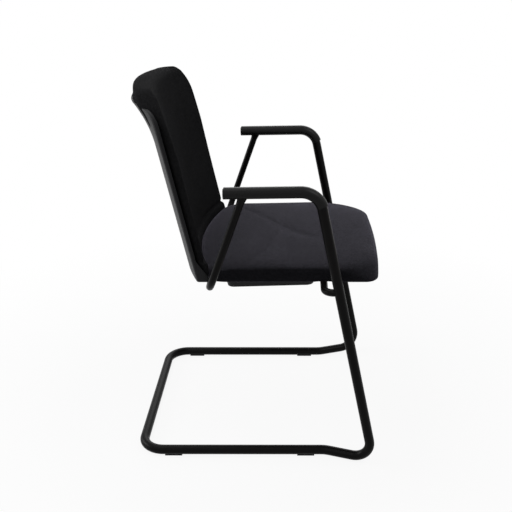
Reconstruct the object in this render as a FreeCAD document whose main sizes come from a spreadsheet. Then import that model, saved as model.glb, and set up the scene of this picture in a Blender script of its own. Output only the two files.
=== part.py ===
# Cantilever visitor's chair with arms, in millimetres.
# The chair faces -Y, +Z is up, and the origin is on the floor in the middle of its bounding box.
# Lengths along the chair are counted from the front floor corner of the frame, rising to the rear,
# and every piece is then moved forward by half the depth of the whole chair.
# The left side is the sitter's left, which is +X.

import FreeCAD, Part
import math
import os

import Sketcher

from FreeCAD import Placement, Rotation, Vector

# Name of the cell, its value, and what it measures.
SIZES = [
    ("TubeDiameter", 22, "outer diameter of the frame tube"),
    ("TubeWall", 2, "wall of the frame tube"),
    ("ArmSpan", 555, "between the axes of the two arms"),
    ("RunnerSpan", 481, "between the axes of the two floor runners"),
    ("FloorDepth", 541.5, "front floor corner to the axis of the rear floor bar"),
    ("SplayLength", 110, "front floor corner to the kink where a runner turns straight"),
    ("ArmHeight", 655.5, "floor to the arm's axis at its front corner"),
    ("ArmDrop", 3, "how much lower the arm's open end is"),
    ("LegSetback", 131, "how far the arm's front corner is behind the floor corner"),
    ("ArmReach", 192.5, "arm's front corner to its open end"),
    ("ArmBend", 45, "axis radius of the bend from arm to leg"),
    ("FloorBend", 42, "axis radius of the bend from leg to runner"),
    ("SplayBend", 60, "axis radius of the kink in a runner"),
    ("RearBend", 52, "axis radius of the rear floor corners"),
    ("BraceDiameter", 16, "outer diameter of the two seat tubes"),
    ("BraceWall", 1.5, "wall of the two seat tubes"),
    ("StrutInset", 40, "arm's open end to the place where a strut's axis meets the arm's"),
    ("RearTubePlace", 364, "front floor corner to the rear seat tube"),
    ("StrutBend", 46, "axis radius of the bend from strut to rear seat tube"),
    ("FrontTubePlace", 117, "front floor corner to the front seat tube"),
    ("FrontTubeBend", 25, "axis radius of the front seat tube's end bends"),
    ("FrontTubeRise", 3, "how much higher the front seat tube is at its welds"),
    ("CollarLength", 10, "length of the weld collar at the top of a strut"),
    ("CollarDiameter", 21, "widest diameter of the weld collar"),
    ("PadThickness", 2.6, "wall of the moulded arm pad"),
    ("PadWrap", 70, "degrees of the arm's front bend that the pad covers"),
    ("PadLap", 4, "how far the pad's edges reach below the arm's axis"),
    ("PadPegGap", 27, "arm's open end to the pad's rear peg"),
    ("PadPegSpread", 100, "between the two pegs of a pad"),
    ("PegDiameter", 5.6, "pegs that locate the pads and the glides in the tube"),
    ("PegLength", 5, "how far a peg reaches into the tube"),
    ("PegFit", 0.2, "radial clearance of a peg in its hole"),
    ("SkinFit", 0.1, "clearance of a moulded piece on its tube"),
    ("PlugCap", 2, "thickness of the plug's cap on the arm's open end"),
    ("PlugStem", 14, "length of the plug inside the tube"),
    ("GlideHeight", 2, "how high the glides hold the runners off the floor"),
    ("GlideLength", 40, "length of a glide along its runner"),
    ("GlideWidth", 14, "width of a glide across its runner"),
    ("GlideSaddle", 3, "how far up the tube the glide's cheeks reach"),
    ("FrontGlideGap", 45, "kink of the runner to the middle of the front glide"),
    ("RearGlideGap", 76, "axis of the rear floor bar to the middle of the rear glide"),
    ("SeatUnderside", 440, "floor to the underside of the seat board"),
    ("SeatWidth", 466, "width of the seat cushion"),
    ("SeatOverhang", 8.5, "how far the seat reaches ahead of the front floor corner"),
    ("SeatBackGap", 2, "between the seat's rear and the face of the back cushion"),
    ("SeatFrontBow", 7, "bow of the seat's front edge"),
    ("SeatFrontCorner", 75, "plan radius of the seat's front corners"),
    ("SeatRearCorner", 30, "plan radius of the seat's rear corners"),
    ("SeatCrown", 34, "height of the crowned cushion above the board's underside"),
    ("SeatWaist", 14, "height above the board's underside at which the cushion is widest"),
    ("SeatDrawIn", 5, "how far the cushion's sides are drawn in at its foot"),
    ("SeatSideCrown", 105, "side of the seat cushion to the level part of its crown"),
    ("SeatFrontCrown", 165, "front of the seat cushion to the level part of its crown"),
    ("SeatRearCrown", 112, "rear of the seat cushion to the level part of its crown"),
    ("SeatRise", 5, "how much higher the seat's top is at the front"),
    ("BoardThickness", 12, "thickness of the seat board"),
    ("BoardInset", 10, "cushion's side to the edge of the seat board"),
    ("SoftFit", 0.4, "clearance between a cushion and what it rests on"),
    ("CoverWidth", 410, "width of the tray under the seat"),
    ("CoverPlace", 133, "front floor corner to the front of the tray"),
    ("CoverLength", 203, "length of the tray"),
    ("CoverDepth", 24.5, "depth of the tray in its middle"),
    ("CoverSlope", 6, "how much deeper the tray is at the rear"),
    ("CoverTaper", 6, "how far the tray's walls lean in over their height"),
    ("CoverCorner", 16, "plan radius of the tray's corners"),
    ("CoverWall", 2.5, "wall of the tray"),
    ("ColumnDiameter", 10, "screw columns in the tray"),
    ("ColumnInset", 22, "tray's rim to the axes of its screw columns"),
    ("CoverScrewDiameter", 4, "screws of the tray"),
    ("CoverScrewHead", 8, "head diameter of the tray's screws"),
    ("CoverScrewGrip", 9, "how far a tray screw reaches into the board"),
    ("LugWidth", 50, "width of a seat lug along its tube"),
    ("LugReach", 24, "reach of a seat lug from the axis of its tube"),
    ("LugThickness", 3, "thickness of a seat lug"),
    ("LugSpread", 300, "between the middles of the two lugs on a tube"),
    ("LugCorner", 4, "corner radius of a lug"),
    ("LugHolePlace", 15, "axis of the tube to the holes of a lug"),
    ("LugHoleSpread", 26, "between the two holes of a lug"),
    ("ScrewDiameter", 6, "machine screws of the seat and of the back"),
    ("ScrewHead", 10, "head diameter of the machine screws"),
    ("ScrewHeadHeight", 3.6, "head height of the machine screws"),
    ("ScrewEndGap", 1.5, "how far machine screws and tee nuts end short of the board's far face"),
    ("ScrewHole", 6.4, "clearance hole for the machine screws"),
    ("NutBarrel", 8, "barrel diameter of a tee nut"),
    ("NutFlange", 18, "flange diameter of a tee nut"),
    ("NutFlangeHeight", 1.5, "flange thickness of a tee nut"),
    ("NutFit", 0.1, "radial clearance of a tee nut in its board"),
    ("BackWidth", 460, "width of the back shell"),
    ("BackPlace", 391.5, "front floor corner to the shell's rear side edge at its foot"),
    ("BackLean", 11.9, "degrees that the back leans"),
    ("BackBow", 45, "how far the shell's rear bulges between its side edges"),
    ("BackFoot", 438, "floor to the foot of the back shell"),
    ("ShellTop", 816, "floor to the top edge of the back shell"),
    ("LipFlare", 22, "how much further the shell's top edge flares to the rear"),
    ("LipFlareHeight", 85, "height over which the shell flares"),
    ("ShellWall", 3, "wall of the back shell"),
    ("ShellFlange", 8.4, "depth of the shell's side flanges"),
    ("ShellFootFlange", 27, "depth of the side flanges at the shell's foot"),
    ("ShellFootHeight", 46, "height over which the flanges widen to the foot"),
    ("ShellTopCorner", 60, "radius of the shell's top corners seen from behind"),
    ("BackCrest", 21, "shell's side edge to the cushion's crest in front of it"),
    ("BackDish", 34, "how far the cushion's face is dished"),
    ("BackCushionWidth", 444, "width of the back cushion"),
    ("BackCushionFoot", 444, "floor to the foot of the back cushion"),
    ("BackTop", 838.5, "floor to the top of the rolled cushion"),
    ("BackLevelStep", 24, "between the level outlines that the back's forms pass through"),
    ("BackTopCorner", 66, "radius of the cushion's top corners seen from the front"),
    ("RollGap", 4, "gap between the shell's top edge and the rolled cushion"),
    ("RollInset", 1, "how far the roll's rear is ahead of the shell's rear"),
    ("FootRollHeight", 46, "height of the sewn roll at the cushion's foot"),
    ("FootRollSwell", 3, "how far the foot roll stands proud"),
    ("ChannelDepth", 3, "depth of the sewn channel above the foot roll"),
    ("ChannelFade", 11, "height over which the face comes back out of the sewn channel"),
    ("BackSideRound", 10, "how far the back cushion's sides bulge"),
    ("PanelInset", 17, "back cushion's side to the side edge of the inner board"),
    ("PanelFoot", 446, "floor to the foot of the inner board"),
    ("PanelTop", 794, "floor to the top of the inner board"),
    ("PanelThickness", 6, "thickness of the inner board"),
    ("PanelGap", 10, "room between the inner board and the shell"),
    ("UprightPlace", 75, "middle plane to the middle of a steel upright"),
    ("UprightWidth", 30, "width of a steel upright"),
    ("UprightThickness", 5, "thickness of a steel upright"),
    ("UprightTop", 600, "floor to the top of a steel upright"),
    ("LowerBoltHeight", 500, "floor to the lower bolts of the uprights"),
    ("UpperBoltHeight", 570, "floor to the upper bolts of the uprights"),
    ("StandoffDiameter", 12, "standoffs that hold the shell off the inner board"),
    ("StandoffSpread", 300, "between the standoffs of one row"),
    ("LowerStandoffHeight", 520, "floor to the lower row of standoffs"),
    ("UpperStandoffHeight", 720, "floor to the upper row of standoffs"),
]

doc = FreeCAD.newDocument("CantileverChair")
sheet = doc.addObject("Spreadsheet::Sheet", "Sizes")


class Size:
    """A number together with the sheet expression that it comes from."""

    def __init__(self, number, text):
        self.number = number
        self.text = text

    def __float__(self):
        return self.number

    def __add__(self, other):
        return Size(self.number + float(other), "(" + self.text + " + " + wording(other) + ")")

    def __sub__(self, other):
        return Size(self.number - float(other), "(" + self.text + " - " + wording(other) + ")")

    def __mul__(self, other):
        return Size(self.number * float(other), "(" + self.text + " * " + wording(other) + ")")

    def __truediv__(self, other):
        return Size(self.number / float(other), "(" + self.text + " / " + wording(other) + ")")

    def __neg__(self):
        return Size(-self.number, "(0 - " + self.text + ")")


def wording(value):
    """The sheet expression of a Size, or the digits of a plain number."""
    return value.text if isinstance(value, Size) else str(float(value))


def fill_sheet():
    """Write every driving size into the sheet under its alias."""
    for row, (alias, value, meaning) in enumerate(SIZES, start=1):
        sheet.set("A" + str(row), alias)
        sheet.set("B" + str(row), str(value))
        sheet.setAlias("B" + str(row), alias)
        sheet.set("C" + str(row), meaning)
    doc.recompute()


def cell(alias):
    """The size of one cell, read back from the sheet."""
    return Size(float(sheet.get(alias)), "Sizes." + alias)


def num(alias):
    """The plain number of one cell."""
    return float(sheet.get(alias))


fill_sheet()

NONE = Size(0.0, "0")
SIDES = (("left", 1), ("right", -1))
TUBE_RADIUS = cell("TubeDiameter") / 2
BRACE_RADIUS = cell("BraceDiameter") / 2
RUNNER_AXIS = num("GlideHeight") + float(TUBE_RADIUS)
SEAT_TUBE_AXIS = num("SeatUnderside") - float(BRACE_RADIUS)
DEPTH_CENTRE = (num("FloorDepth") + float(TUBE_RADIUS) - num("SeatOverhang")) / 2


# Sketched pieces

def new_body(name):
    """An empty body with its label."""
    body = doc.addObject("PartDesign::Body", name)
    body.Label = name
    return body


def new_sketch(body, plane):
    """A sketch on one of the body's own origin planes."""
    sketch = body.newObject("Sketcher::SketchObject", body.Name + "_sketch")
    support = [feature for feature in body.Origin.OriginFeatures if feature.Role == plane]
    sketch.AttachmentSupport = [(support[0], "")]
    sketch.MapMode = "FlatFace"
    return sketch


def pin_point(sketch, edge, end, across, up):
    """Hold one end of an edge at the given place, bound to the sheet."""
    for value, kind, axis in ((across, "DistanceX", -2), (up, "DistanceY", -1)):
        if value is NONE:
            sketch.addConstraint(Sketcher.Constraint("PointOnObject", edge, end, axis))
            continue
        index = sketch.addConstraint(Sketcher.Constraint(kind, -1, 1, edge, end, float(value)))
        sketch.setExpression("Constraints[" + str(index) + "]", value.text)


def polygon(body, plane, corners):
    """A sketch with one closed outline of straight edges."""
    sketch = new_sketch(body, plane)
    points = [Vector(float(across), float(up), 0) for across, up in corners]
    count = len(points)
    for index in range(count):
        sketch.addGeometry(Part.LineSegment(points[index], points[(index + 1) % count]), False)
    for index in range(count):
        joint = Sketcher.Constraint("Coincident", index, 2, (index + 1) % count, 1)
        sketch.addConstraint(joint)
    for index, (across, up) in enumerate(corners):
        pin_point(sketch, index, 1, across, up)
    return sketch


def discs(body, plane, circles):
    """A sketch of circles, each given as its centre and its radius."""
    sketch = new_sketch(body, plane)
    for edge, (across, up, radius) in enumerate(circles):
        centre = Vector(float(across), float(up), 0)
        sketch.addGeometry(Part.Circle(centre, Vector(0, 0, 1), float(radius)), False)
        pin_point(sketch, edge, 3, across, up)
        index = sketch.addConstraint(Sketcher.Constraint("Radius", edge, float(radius)))
        sketch.setExpression("Constraints[" + str(index) + "]", radius.text)
    return sketch


def pad(body, sketch, length, symmetric=False, reverse=False):
    """Thicken a sketch by a bound length."""
    feature = body.newObject("PartDesign::Pad", body.Name + "_pad")
    feature.Profile = sketch
    feature.setExpression("Length", length.text)
    feature.SideType = "Symmetric" if symmetric else "One side"
    feature.Reversed = reverse
    return feature


def pocket(body, sketch):
    """Cut a sketch right through, both ways."""
    doc.recompute()
    before = body.Shape.Volume
    feature = body.newObject("PartDesign::Pocket", body.Name + "_pocket")
    feature.Profile = sketch
    feature.SideType = "Symmetric"
    feature.Type = "ThroughAll"
    doc.recompute()
    if body.Shape.Volume >= before:
        raise RuntimeError(body.Label + ": a pocket cut nothing")
    return feature


def turned(body, outline):
    """A full turn of an outline in the XZ plane about the Z axis."""
    sketch = polygon(body, "XZ_Plane", outline)
    feature = body.newObject("PartDesign::Revolution", body.Name + "_turn")
    feature.Profile = sketch
    feature.ReferenceAxis = (sketch, ["V_Axis"])
    feature.Angle = 360
    return feature


def in_place(piece, across=0.0, along=0.0, up=0.0, rotation=None):
    """Set a piece down at its place in the chair."""
    spot = Vector(float(across), float(along) - DEPTH_CENTRE, float(up))
    piece.Placement = Placement(spot, rotation or Rotation())


# Shapes worked out in code

def modelled(name, shape):
    """A sub-part whose shape is worked out from the sheet in code."""
    piece = doc.addObject("Part::Feature", name)
    piece.Label = name
    piece.Shape = shape
    in_place(piece)
    return piece


def bent_path(points, radii):
    """Straight runs joined by tangent arcs, with one radius for each inner point."""
    edges = []
    start = points[0]
    for before, corner, after, radius in zip(points, points[1:], points[2:], radii):
        backward = (before - corner).normalize()
        forward = (after - corner).normalize()
        half_turn = (math.pi - backward.getAngle(forward)) / 2
        reach = radius * math.tan(half_turn)
        inward = (backward + forward).normalize()
        arc_start = corner + backward * reach
        arc_middle = corner + inward * (radius / math.cos(half_turn) - radius)
        arc_end = corner + forward * reach
        edges.append(Part.LineSegment(start, arc_start).toShape())
        edges.append(Part.Arc(arc_start, arc_middle, arc_end).toShape())
        start = arc_end
    edges.append(Part.LineSegment(start, points[-1]).toShape())
    return Part.Wire(edges)


def rod(path, radius):
    """A round solid along a path."""
    first = path.Edges[0]
    start = first.valueAt(first.FirstParameter)
    heading = first.tangentAt(first.FirstParameter)
    ring = Part.Wire(Part.makeCircle(float(radius), start, heading))
    return path.makePipeShell([ring], True, False)


def mirrored_route(right_to_middle):
    """The whole route of a frame tube from its half on the +X side."""
    far = [Vector(-point.x, point.y, point.z) for point in reversed(right_to_middle)]
    return right_to_middle + far


def circle_drop(half_chord, bow, across):
    """How far a circular arch of this bow has fallen at a distance from its middle."""
    radius = (half_chord ** 2 + bow ** 2) / (2 * bow)
    return radius - math.sqrt(radius ** 2 - across ** 2)


def arc_edge(start, middle, end):
    """One edge on the circle through three points."""
    return Part.Arc(start, middle, end).toShape()


def line_edge(start, end):
    """One straight edge."""
    return Part.LineSegment(start, end).toShape()


def loft(wires):
    """A solid through closed outlines, straight from each outline to the next."""
    return Part.makeLoft(wires, True, True)


def closing_steps(count):
    """Steps from nought to one that crowd together towards one, for the rings of a crown."""
    return [math.sin(math.pi / 2 * index / count) for index in range(count + 1)]


def crown_inset(share, reach, power):
    """How far a crown has drawn in at a share of its height: little at first, then all at once."""
    return reach * (1 - math.sqrt(max(1 - share ** power, 0)))


# Frame

def arm_corner():
    """Where the arm's axis would meet the leg's."""
    return Vector(num("ArmSpan") / 2, num("LegSetback"), num("ArmHeight"))


def arm_end():
    """The axis point of the arm's open end."""
    return arm_corner() + Vector(0, num("ArmReach"), -num("ArmDrop"))


def floor_corner():
    """Where the leg's axis would meet the floor runner's."""
    return Vector(num("ArmSpan") / 2, 0, RUNNER_AXIS)


def along_line(start, end, height):
    """The point at a height on the line through two points."""
    return start + (end - start) * ((height - start.z) / (end.z - start.z))


def frame_path():
    """The axis of the whole frame tube, from one open end to the other."""
    kink = Vector(num("RunnerSpan") / 2, num("SplayLength"), RUNNER_AXIS)
    rear_corner = Vector(num("RunnerSpan") / 2, num("FloorDepth"), RUNNER_AXIS)
    half = [arm_end(), arm_corner(), floor_corner(), kink, rear_corner]
    bends = [num("ArmBend"), num("FloorBend"), num("SplayBend"), num("RearBend")]
    return bent_path(mirrored_route(half), bends + bends[::-1])


def glide_places():
    """Names and middle points of the four glides, on the straight part of the runners."""
    front = num("SplayLength") + num("FrontGlideGap")
    rear = num("FloorDepth") - num("RearGlideGap")
    for row, along in (("front", front), ("rear", rear)):
        for side, sign in SIDES:
            yield "glide_" + row + "_" + side, Vector(sign * num("RunnerSpan") / 2, along, 0)


def pad_peg_points():
    """Axis points of the arm above which the pads have their pegs, on the +X side."""
    heading = (arm_corner() - arm_end()).normalize()
    rear = arm_end() + heading * num("PadPegGap")
    return [rear, rear + heading * num("PadPegSpread")]


def arm_up():
    """The direction square to the arm's axis, upwards."""
    heading = (arm_corner() - arm_end()).normalize()
    return heading.cross(Vector(1, 0, 0))


def on_side(point, sign):
    """The same point on the side that the sign names."""
    return Vector(sign * point.x, point.y, point.z)


def frame_tube():
    """One continuous bent tube, drilled for the pegs of its pads and glides."""
    path = frame_path()
    tube = rod(path, TUBE_RADIUS).cut(rod(path, float(TUBE_RADIUS) - num("TubeWall")))
    hole = num("PegDiameter") / 2 + num("PegFit")
    for name, spot in glide_places():
        tube = tube.cut(Part.makeCylinder(hole, RUNNER_AXIS, spot))
    for point in pad_peg_points():
        for side, sign in SIDES:
            drill = Part.makeCylinder(hole, num("TubeDiameter"), on_side(point, sign), arm_up())
            tube = tube.cut(drill)
    return modelled("frame_tube", tube)


def strut_top():
    """Where a strut's axis meets the arm's axis."""
    heading = (arm_corner() - arm_end()).normalize()
    return arm_end() + heading * num("StrutInset")


def rear_tube_corner():
    """Where a strut's axis would meet the rear seat tube's."""
    return Vector(num("ArmSpan") / 2, num("RearTubePlace"), SEAT_TUBE_AXIS)


def rear_tube_path():
    """The axis of the tube that makes both struts and the cross run between them."""
    bend = num("StrutBend")
    return bent_path(mirrored_route([strut_top(), rear_tube_corner()]), [bend, bend])


def rear_support_tube():
    """The struts and the rear seat tube, coped to the arms."""
    path = rear_tube_path()
    tube = rod(path, BRACE_RADIUS).cut(rod(path, float(BRACE_RADIUS) - num("BraceWall")))
    return modelled("rear_support_tube", tube.cut(rod(frame_path(), TUBE_RADIUS)))


def front_tube_path():
    """The axis of the front seat tube, which starts on the axis of each leg."""
    weld_height = SEAT_TUBE_AXIS + num("FrontTubeRise")
    weld = along_line(floor_corner(), arm_corner(), weld_height)
    corner = Vector(num("ArmSpan") / 2, num("FrontTubePlace"), SEAT_TUBE_AXIS)
    bend = num("FrontTubeBend")
    return bent_path(mirrored_route([weld, corner]), [bend, bend])


def front_cross_tube():
    """The front seat tube, coped to the legs."""
    path = front_tube_path()
    tube = rod(path, BRACE_RADIUS).cut(rod(path, float(BRACE_RADIUS) - num("BraceWall")))
    return modelled("front_cross_tube", tube.cut(rod(frame_path(), TUBE_RADIUS)))


def strut_collar(side, sign):
    """The flared weld collar between a strut and the underside of its arm."""
    top = on_side(strut_top(), sign)
    heading = (on_side(rear_tube_corner(), sign) - top).normalize()
    inner = float(BRACE_RADIUS)
    reach = float(TUBE_RADIUS) + num("CollarLength")
    widest = num("CollarDiameter") / 2
    start = top + heading * (float(TUBE_RADIUS) / 2)
    cone = Part.makeCone(widest, inner, reach - float(TUBE_RADIUS) / 2, start, heading)
    bore = Part.makeCylinder(inner, reach + inner, top, heading)
    ring = cone.cut(bore).cut(rod(frame_path(), TUBE_RADIUS))
    return modelled("strut_collar_" + side, ring)


def pad_axis(sign):
    """The axis of the arm under its pad, which ends part of the way round the front bend."""
    start = on_side(arm_end(), sign)
    corner = on_side(arm_corner(), sign)
    toe = on_side(floor_corner(), sign)
    backward = (start - corner).normalize()
    downward = (toe - corner).normalize()
    half_turn = (math.pi - backward.getAngle(downward)) / 2
    radius = num("ArmBend")
    bend_start = corner + backward * (radius * math.tan(half_turn))
    centre = bend_start - arm_up() * radius
    edges = [line_edge(start, bend_start)]
    points = []
    for share in (0.5, 1.0):
        turn = math.radians(num("PadWrap")) * share
        points.append(centre + arm_up() * (radius * math.cos(turn)) - backward * (radius * math.sin(turn)))
    edges.append(arc_edge(bend_start, points[0], points[1]))
    return Part.Wire(edges)


def pad_section(sign):
    """The pad's cross-section: a half ring with rounded lips that lap below the tube's axis."""
    centre = on_side(arm_end(), sign)
    up = arm_up()
    side = Vector(1, 0, 0)
    inner = float(TUBE_RADIUS) + num("SkinFit")
    outer = inner + num("PadThickness")
    lap = math.asin(num("PadLap") / inner)

    def at(radius, angle):
        return centre + side * (radius * math.cos(angle)) + up * (radius * math.sin(angle))

    middle = (inner + outer) / 2
    right, top, left = -lap, math.pi / 2, math.pi + lap
    lip = num("PadThickness") / 2 / middle
    return Part.Wire([
        arc_edge(at(outer, right), at(outer, top), at(outer, left)),
        arc_edge(at(outer, left), at(middle, left + lip), at(inner, left)),
        arc_edge(at(inner, left), at(inner, top), at(inner, right)),
        arc_edge(at(inner, right), at(middle, right - lip), at(outer, right)),
    ])


def arm_pad(side, sign):
    """The moulded half sleeve on an arm, with its two pegs."""
    sleeve = pad_axis(sign).makePipeShell([pad_section(sign)], True, False)
    root = float(TUBE_RADIUS) + num("SkinFit") + num("PadThickness") / 2
    for point in pad_peg_points():
        foot = on_side(point, sign) + arm_up() * (float(TUBE_RADIUS) - num("PegLength"))
        length = root - float(TUBE_RADIUS) + num("PegLength")
        sleeve = sleeve.fuse(Part.makeCylinder(num("PegDiameter") / 2, length, foot, arm_up()))
    return modelled("arm_pad_" + side, sleeve)


def arm_end_plug(side, sign):
    """The moulded plug in the open end of an arm: a cap with a rounded rim on a stem."""
    body = new_body("arm_end_plug_" + side)
    stem = TUBE_RADIUS - cell("TubeWall") - cell("SkinFit")
    rim = cell("PlugCap") / 2
    turned(body, [
        (NONE, -cell("PlugStem")),
        (stem - rim, -cell("PlugStem")),
        (stem, rim - cell("PlugStem")),
        (stem, NONE),
        (TUBE_RADIUS, NONE),
        (TUBE_RADIUS, rim),
        (TUBE_RADIUS - rim, cell("PlugCap")),
        (NONE, cell("PlugCap")),
    ])
    heading = (arm_end() - arm_corner()).normalize()
    end = on_side(arm_end(), sign)
    in_place(body, end.x, end.y, end.z, Rotation(Vector(0, 0, 1), heading))
    return body


def glide(name, spot):
    """A low moulded glide with a saddle for the tube, a flat sole and a locating peg."""
    body = new_body(name)
    half_width = cell("GlideWidth") / 2
    axis = cell("GlideHeight") + TUBE_RADIUS
    top = cell("GlideHeight") + cell("GlideSaddle")
    chamfer = cell("GlideHeight") / 2
    sole = half_width - chamfer
    block = polygon(body, "XZ_Plane", [
        (-sole, NONE),
        (sole, NONE),
        (half_width, chamfer),
        (half_width, top),
        (-half_width, top),
        (-half_width, chamfer),
    ])
    pad(body, block, cell("GlideLength"), symmetric=True)
    saddle = discs(body, "XZ_Plane", [(NONE, axis, TUBE_RADIUS + cell("SkinFit"))])
    pocket(body, saddle)
    peg = discs(body, "XY_Plane", [(NONE, NONE, cell("PegDiameter") / 2)])
    pad(body, peg, cell("GlideHeight") + cell("PegLength"))
    in_place(body, spot.x, spot.y)
    return body


# Seat

# How square the crown stands before it turns over to the top: higher is squarer.
SIDE_CROWN_POWER = 6
FRONT_CROWN_POWER = 2.5
REAR_CROWN_POWER = 4
# How much the front corners' radius grows for each millimetre that the crown's sides draw in.
CORNER_GROWTH = 0.2


def seat_rear():
    """How far back the seat reaches in its middle: to the back's face, less their gap."""
    return front_face(0, num("SeatUnderside") + num("SeatWaist")) - num("FootRollSwell") - num("SeatBackGap")


def seat_rear_bow():
    """The bow of the seat's rear edge, which follows the dish of the back's face."""
    return circle_drop(num("BackCushionWidth") / 2, num("BackDish"), num("SeatWidth") / 2)


def bowed_outline(half_width, front, rear, bows, corners, height_at):
    """A closed plan outline: bowed front and rear, straight sides, and rounded corners."""
    front_bow, rear_bow = bows
    front_corner, rear_corner = corners
    ends = []
    for edge, bow, corner, sense in ((front, front_bow, front_corner, -1), (rear, rear_bow, rear_corner, 1)):
        radius = (half_width ** 2 + bow ** 2) / (2 * bow)
        hub = edge - sense * radius
        reach = half_width - corner
        pivot = hub + sense * math.sqrt((radius - corner) ** 2 - reach ** 2)
        toward = Vector(reach, pivot - hub, 0).normalize()
        touch = Vector(0, hub, 0) + toward * radius
        halfway = (toward + Vector(1, 0, 0)).normalize()
        middle = Vector(reach, pivot, 0) + halfway * corner
        ends.append((Vector(0, edge, 0), touch, middle, Vector(half_width, pivot, 0)))

    def at(point, sign=1):
        return Vector(sign * point.x, point.y, height_at(point.y))

    (front_mid, front_touch, front_round, front_side), (rear_mid, rear_touch, rear_round, rear_side) = ends
    return Part.Wire([
        arc_edge(at(front_touch, -1), at(front_mid), at(front_touch)),
        arc_edge(at(front_touch), at(front_round), at(front_side)),
        line_edge(at(front_side), at(rear_side)),
        arc_edge(at(rear_side), at(rear_round), at(rear_touch)),
        arc_edge(at(rear_touch), at(rear_mid), at(rear_touch, -1)),
        arc_edge(at(rear_touch, -1), at(rear_round, -1), at(rear_side, -1)),
        line_edge(at(rear_side, -1), at(front_side, -1)),
        arc_edge(at(front_side, -1), at(front_round, -1), at(front_touch, -1)),
    ])


def seat_outline(side_inset, front_inset, rear_inset, height_at):
    """The seat's plan outline, drawn in by the given amounts, with its bows flatter as it narrows."""
    half_width = num("SeatWidth") / 2 - side_inset
    flatter = (half_width / (num("SeatWidth") / 2)) ** 2
    return bowed_outline(
        half_width,
        front_inset - num("SeatOverhang"),
        seat_rear() - rear_inset,
        (num("SeatFrontBow") * flatter, seat_rear_bow() * flatter),
        (num("SeatFrontCorner") + side_inset * CORNER_GROWTH, num("SeatRearCorner")),
        height_at,
    )


def level(height):
    """A height that is the same all along the seat."""
    return lambda along: height


def seat_board_blank(growth, low, high):
    """The seat board's outline as a flat slab, grown all round by a clearance."""
    inset = num("BoardInset") - growth
    face = Part.Face(seat_outline(inset, inset, inset, level(low)))
    return face.extrude(Vector(0, 0, high - low))


def lug_places():
    """Name and tube place of the four seat lugs."""
    for row, along in (("front", num("FrontTubePlace")), ("rear", num("RearTubePlace"))):
        for side, sign in SIDES:
            yield "seat_lug_" + row + "_" + side, sign * num("LugSpread") / 2, along


def seat_screw_spots():
    """Where the eight machine screws pass through the lugs into the seat board."""
    for name, across, along in lug_places():
        for sign in (-1, 1):
            yield Vector(across + sign * num("LugHoleSpread") / 2, along - num("LugHolePlace"), 0)


def cover_column_spots():
    """Where the tray's four screws pass through its columns."""
    across = num("CoverWidth") / 2 - num("ColumnInset")
    for along in (num("ColumnInset"), num("CoverLength") - num("ColumnInset")):
        for sign in (-1, 1):
            yield Vector(sign * across, num("CoverPlace") + along, 0)


def seat_board():
    """The plywood seat board, drilled for its tee nuts and for the tray's screws."""
    low = num("SeatUnderside")
    top = low + num("BoardThickness")
    board = seat_board_blank(0, low, top)
    barrel = num("NutBarrel") / 2 + num("NutFit")
    flange = num("NutFlange") / 2 + num("NutFit")
    recess = num("NutFlangeHeight") + num("NutFit")
    for spot in seat_screw_spots():
        through = Part.makeCylinder(barrel, num("BoardThickness"), spot + Vector(0, 0, low))
        sink = Part.makeCylinder(flange, recess, spot + Vector(0, 0, top - recess))
        board = board.cut(through.fuse(sink))
    pilot = num("CoverScrewDiameter") / 2
    for spot in cover_column_spots():
        board = board.cut(Part.makeCylinder(pilot, num("CoverScrewGrip"), spot + Vector(0, 0, low)))
    return modelled("seat_board", board)


def seat_ring(share, insets, low, crown, middle):
    """One outline of the cushion at a share of its height, tilted more the higher it is."""
    slope = share * num("SeatRise") / (seat_rear() + num("SeatOverhang"))

    def height_at(along):
        return low + share * crown - slope * (along - middle)

    return seat_outline(*insets, height_at)


def seat_cushion():
    """The crowned cushion: sides drawn in at the foot, a waterfall front and a domed top."""
    low = num("SeatUnderside") + num("SoftFit")
    crown = num("SeatCrown") - num("SoftFit")
    middle = (seat_rear() - num("SeatOverhang")) / 2
    widest = num("SeatWaist") / num("SeatCrown")
    wires = []
    for step in even_heights(0, 1, 4)[:-1]:
        draw = num("SeatDrawIn") * (1 - step) ** 2
        wires.append(seat_ring(step * widest, (draw, draw, draw), low, crown, middle))
    for step in closing_steps(9):
        share = widest + (1 - widest) * step
        insets = (
            crown_inset(step, num("SeatSideCrown"), SIDE_CROWN_POWER),
            crown_inset(step, num("SeatFrontCrown"), FRONT_CROWN_POWER),
            crown_inset(step, num("SeatRearCrown"), REAR_CROWN_POWER),
        )
        wires.append(seat_ring(share, insets, low, crown, middle))
    block = loft(wires)
    top = num("SeatUnderside") + num("BoardThickness") + num("SoftFit")
    pocketed = seat_board_blank(num("SoftFit"), num("SeatUnderside") - crown, top)
    return modelled("seat_cushion", block.cut(pocketed))


def rounded_rectangle(half_width, front, rear, corner, height_at):
    """A closed plan outline with straight sides and rounded corners."""
    diagonal = corner * math.sqrt(0.5)
    edges = []
    spots = []
    for across, along, turn_x, turn_y in (
        (half_width, front, 1, -1), (half_width, rear, 1, 1),
        (-half_width, rear, -1, 1), (-half_width, front, -1, -1),
    ):
        hub = Vector(across - turn_x * corner, along - turn_y * corner, 0)
        beside = hub + Vector(turn_x * corner, 0, 0)
        ahead = hub + Vector(0, turn_y * corner, 0)
        between = hub + Vector(turn_x * diagonal, turn_y * diagonal, 0)
        first, last = (ahead, beside) if turn_x * turn_y < 0 else (beside, ahead)
        spots.append([Vector(p.x, p.y, height_at(p.y)) for p in (first, between, last)])
    for index, (first, between, last) in enumerate(spots):
        edges.append(arc_edge(first, between, last))
        edges.append(line_edge(last, spots[(index + 1) % len(spots)][0]))
    return Part.Wire(edges)


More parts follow.
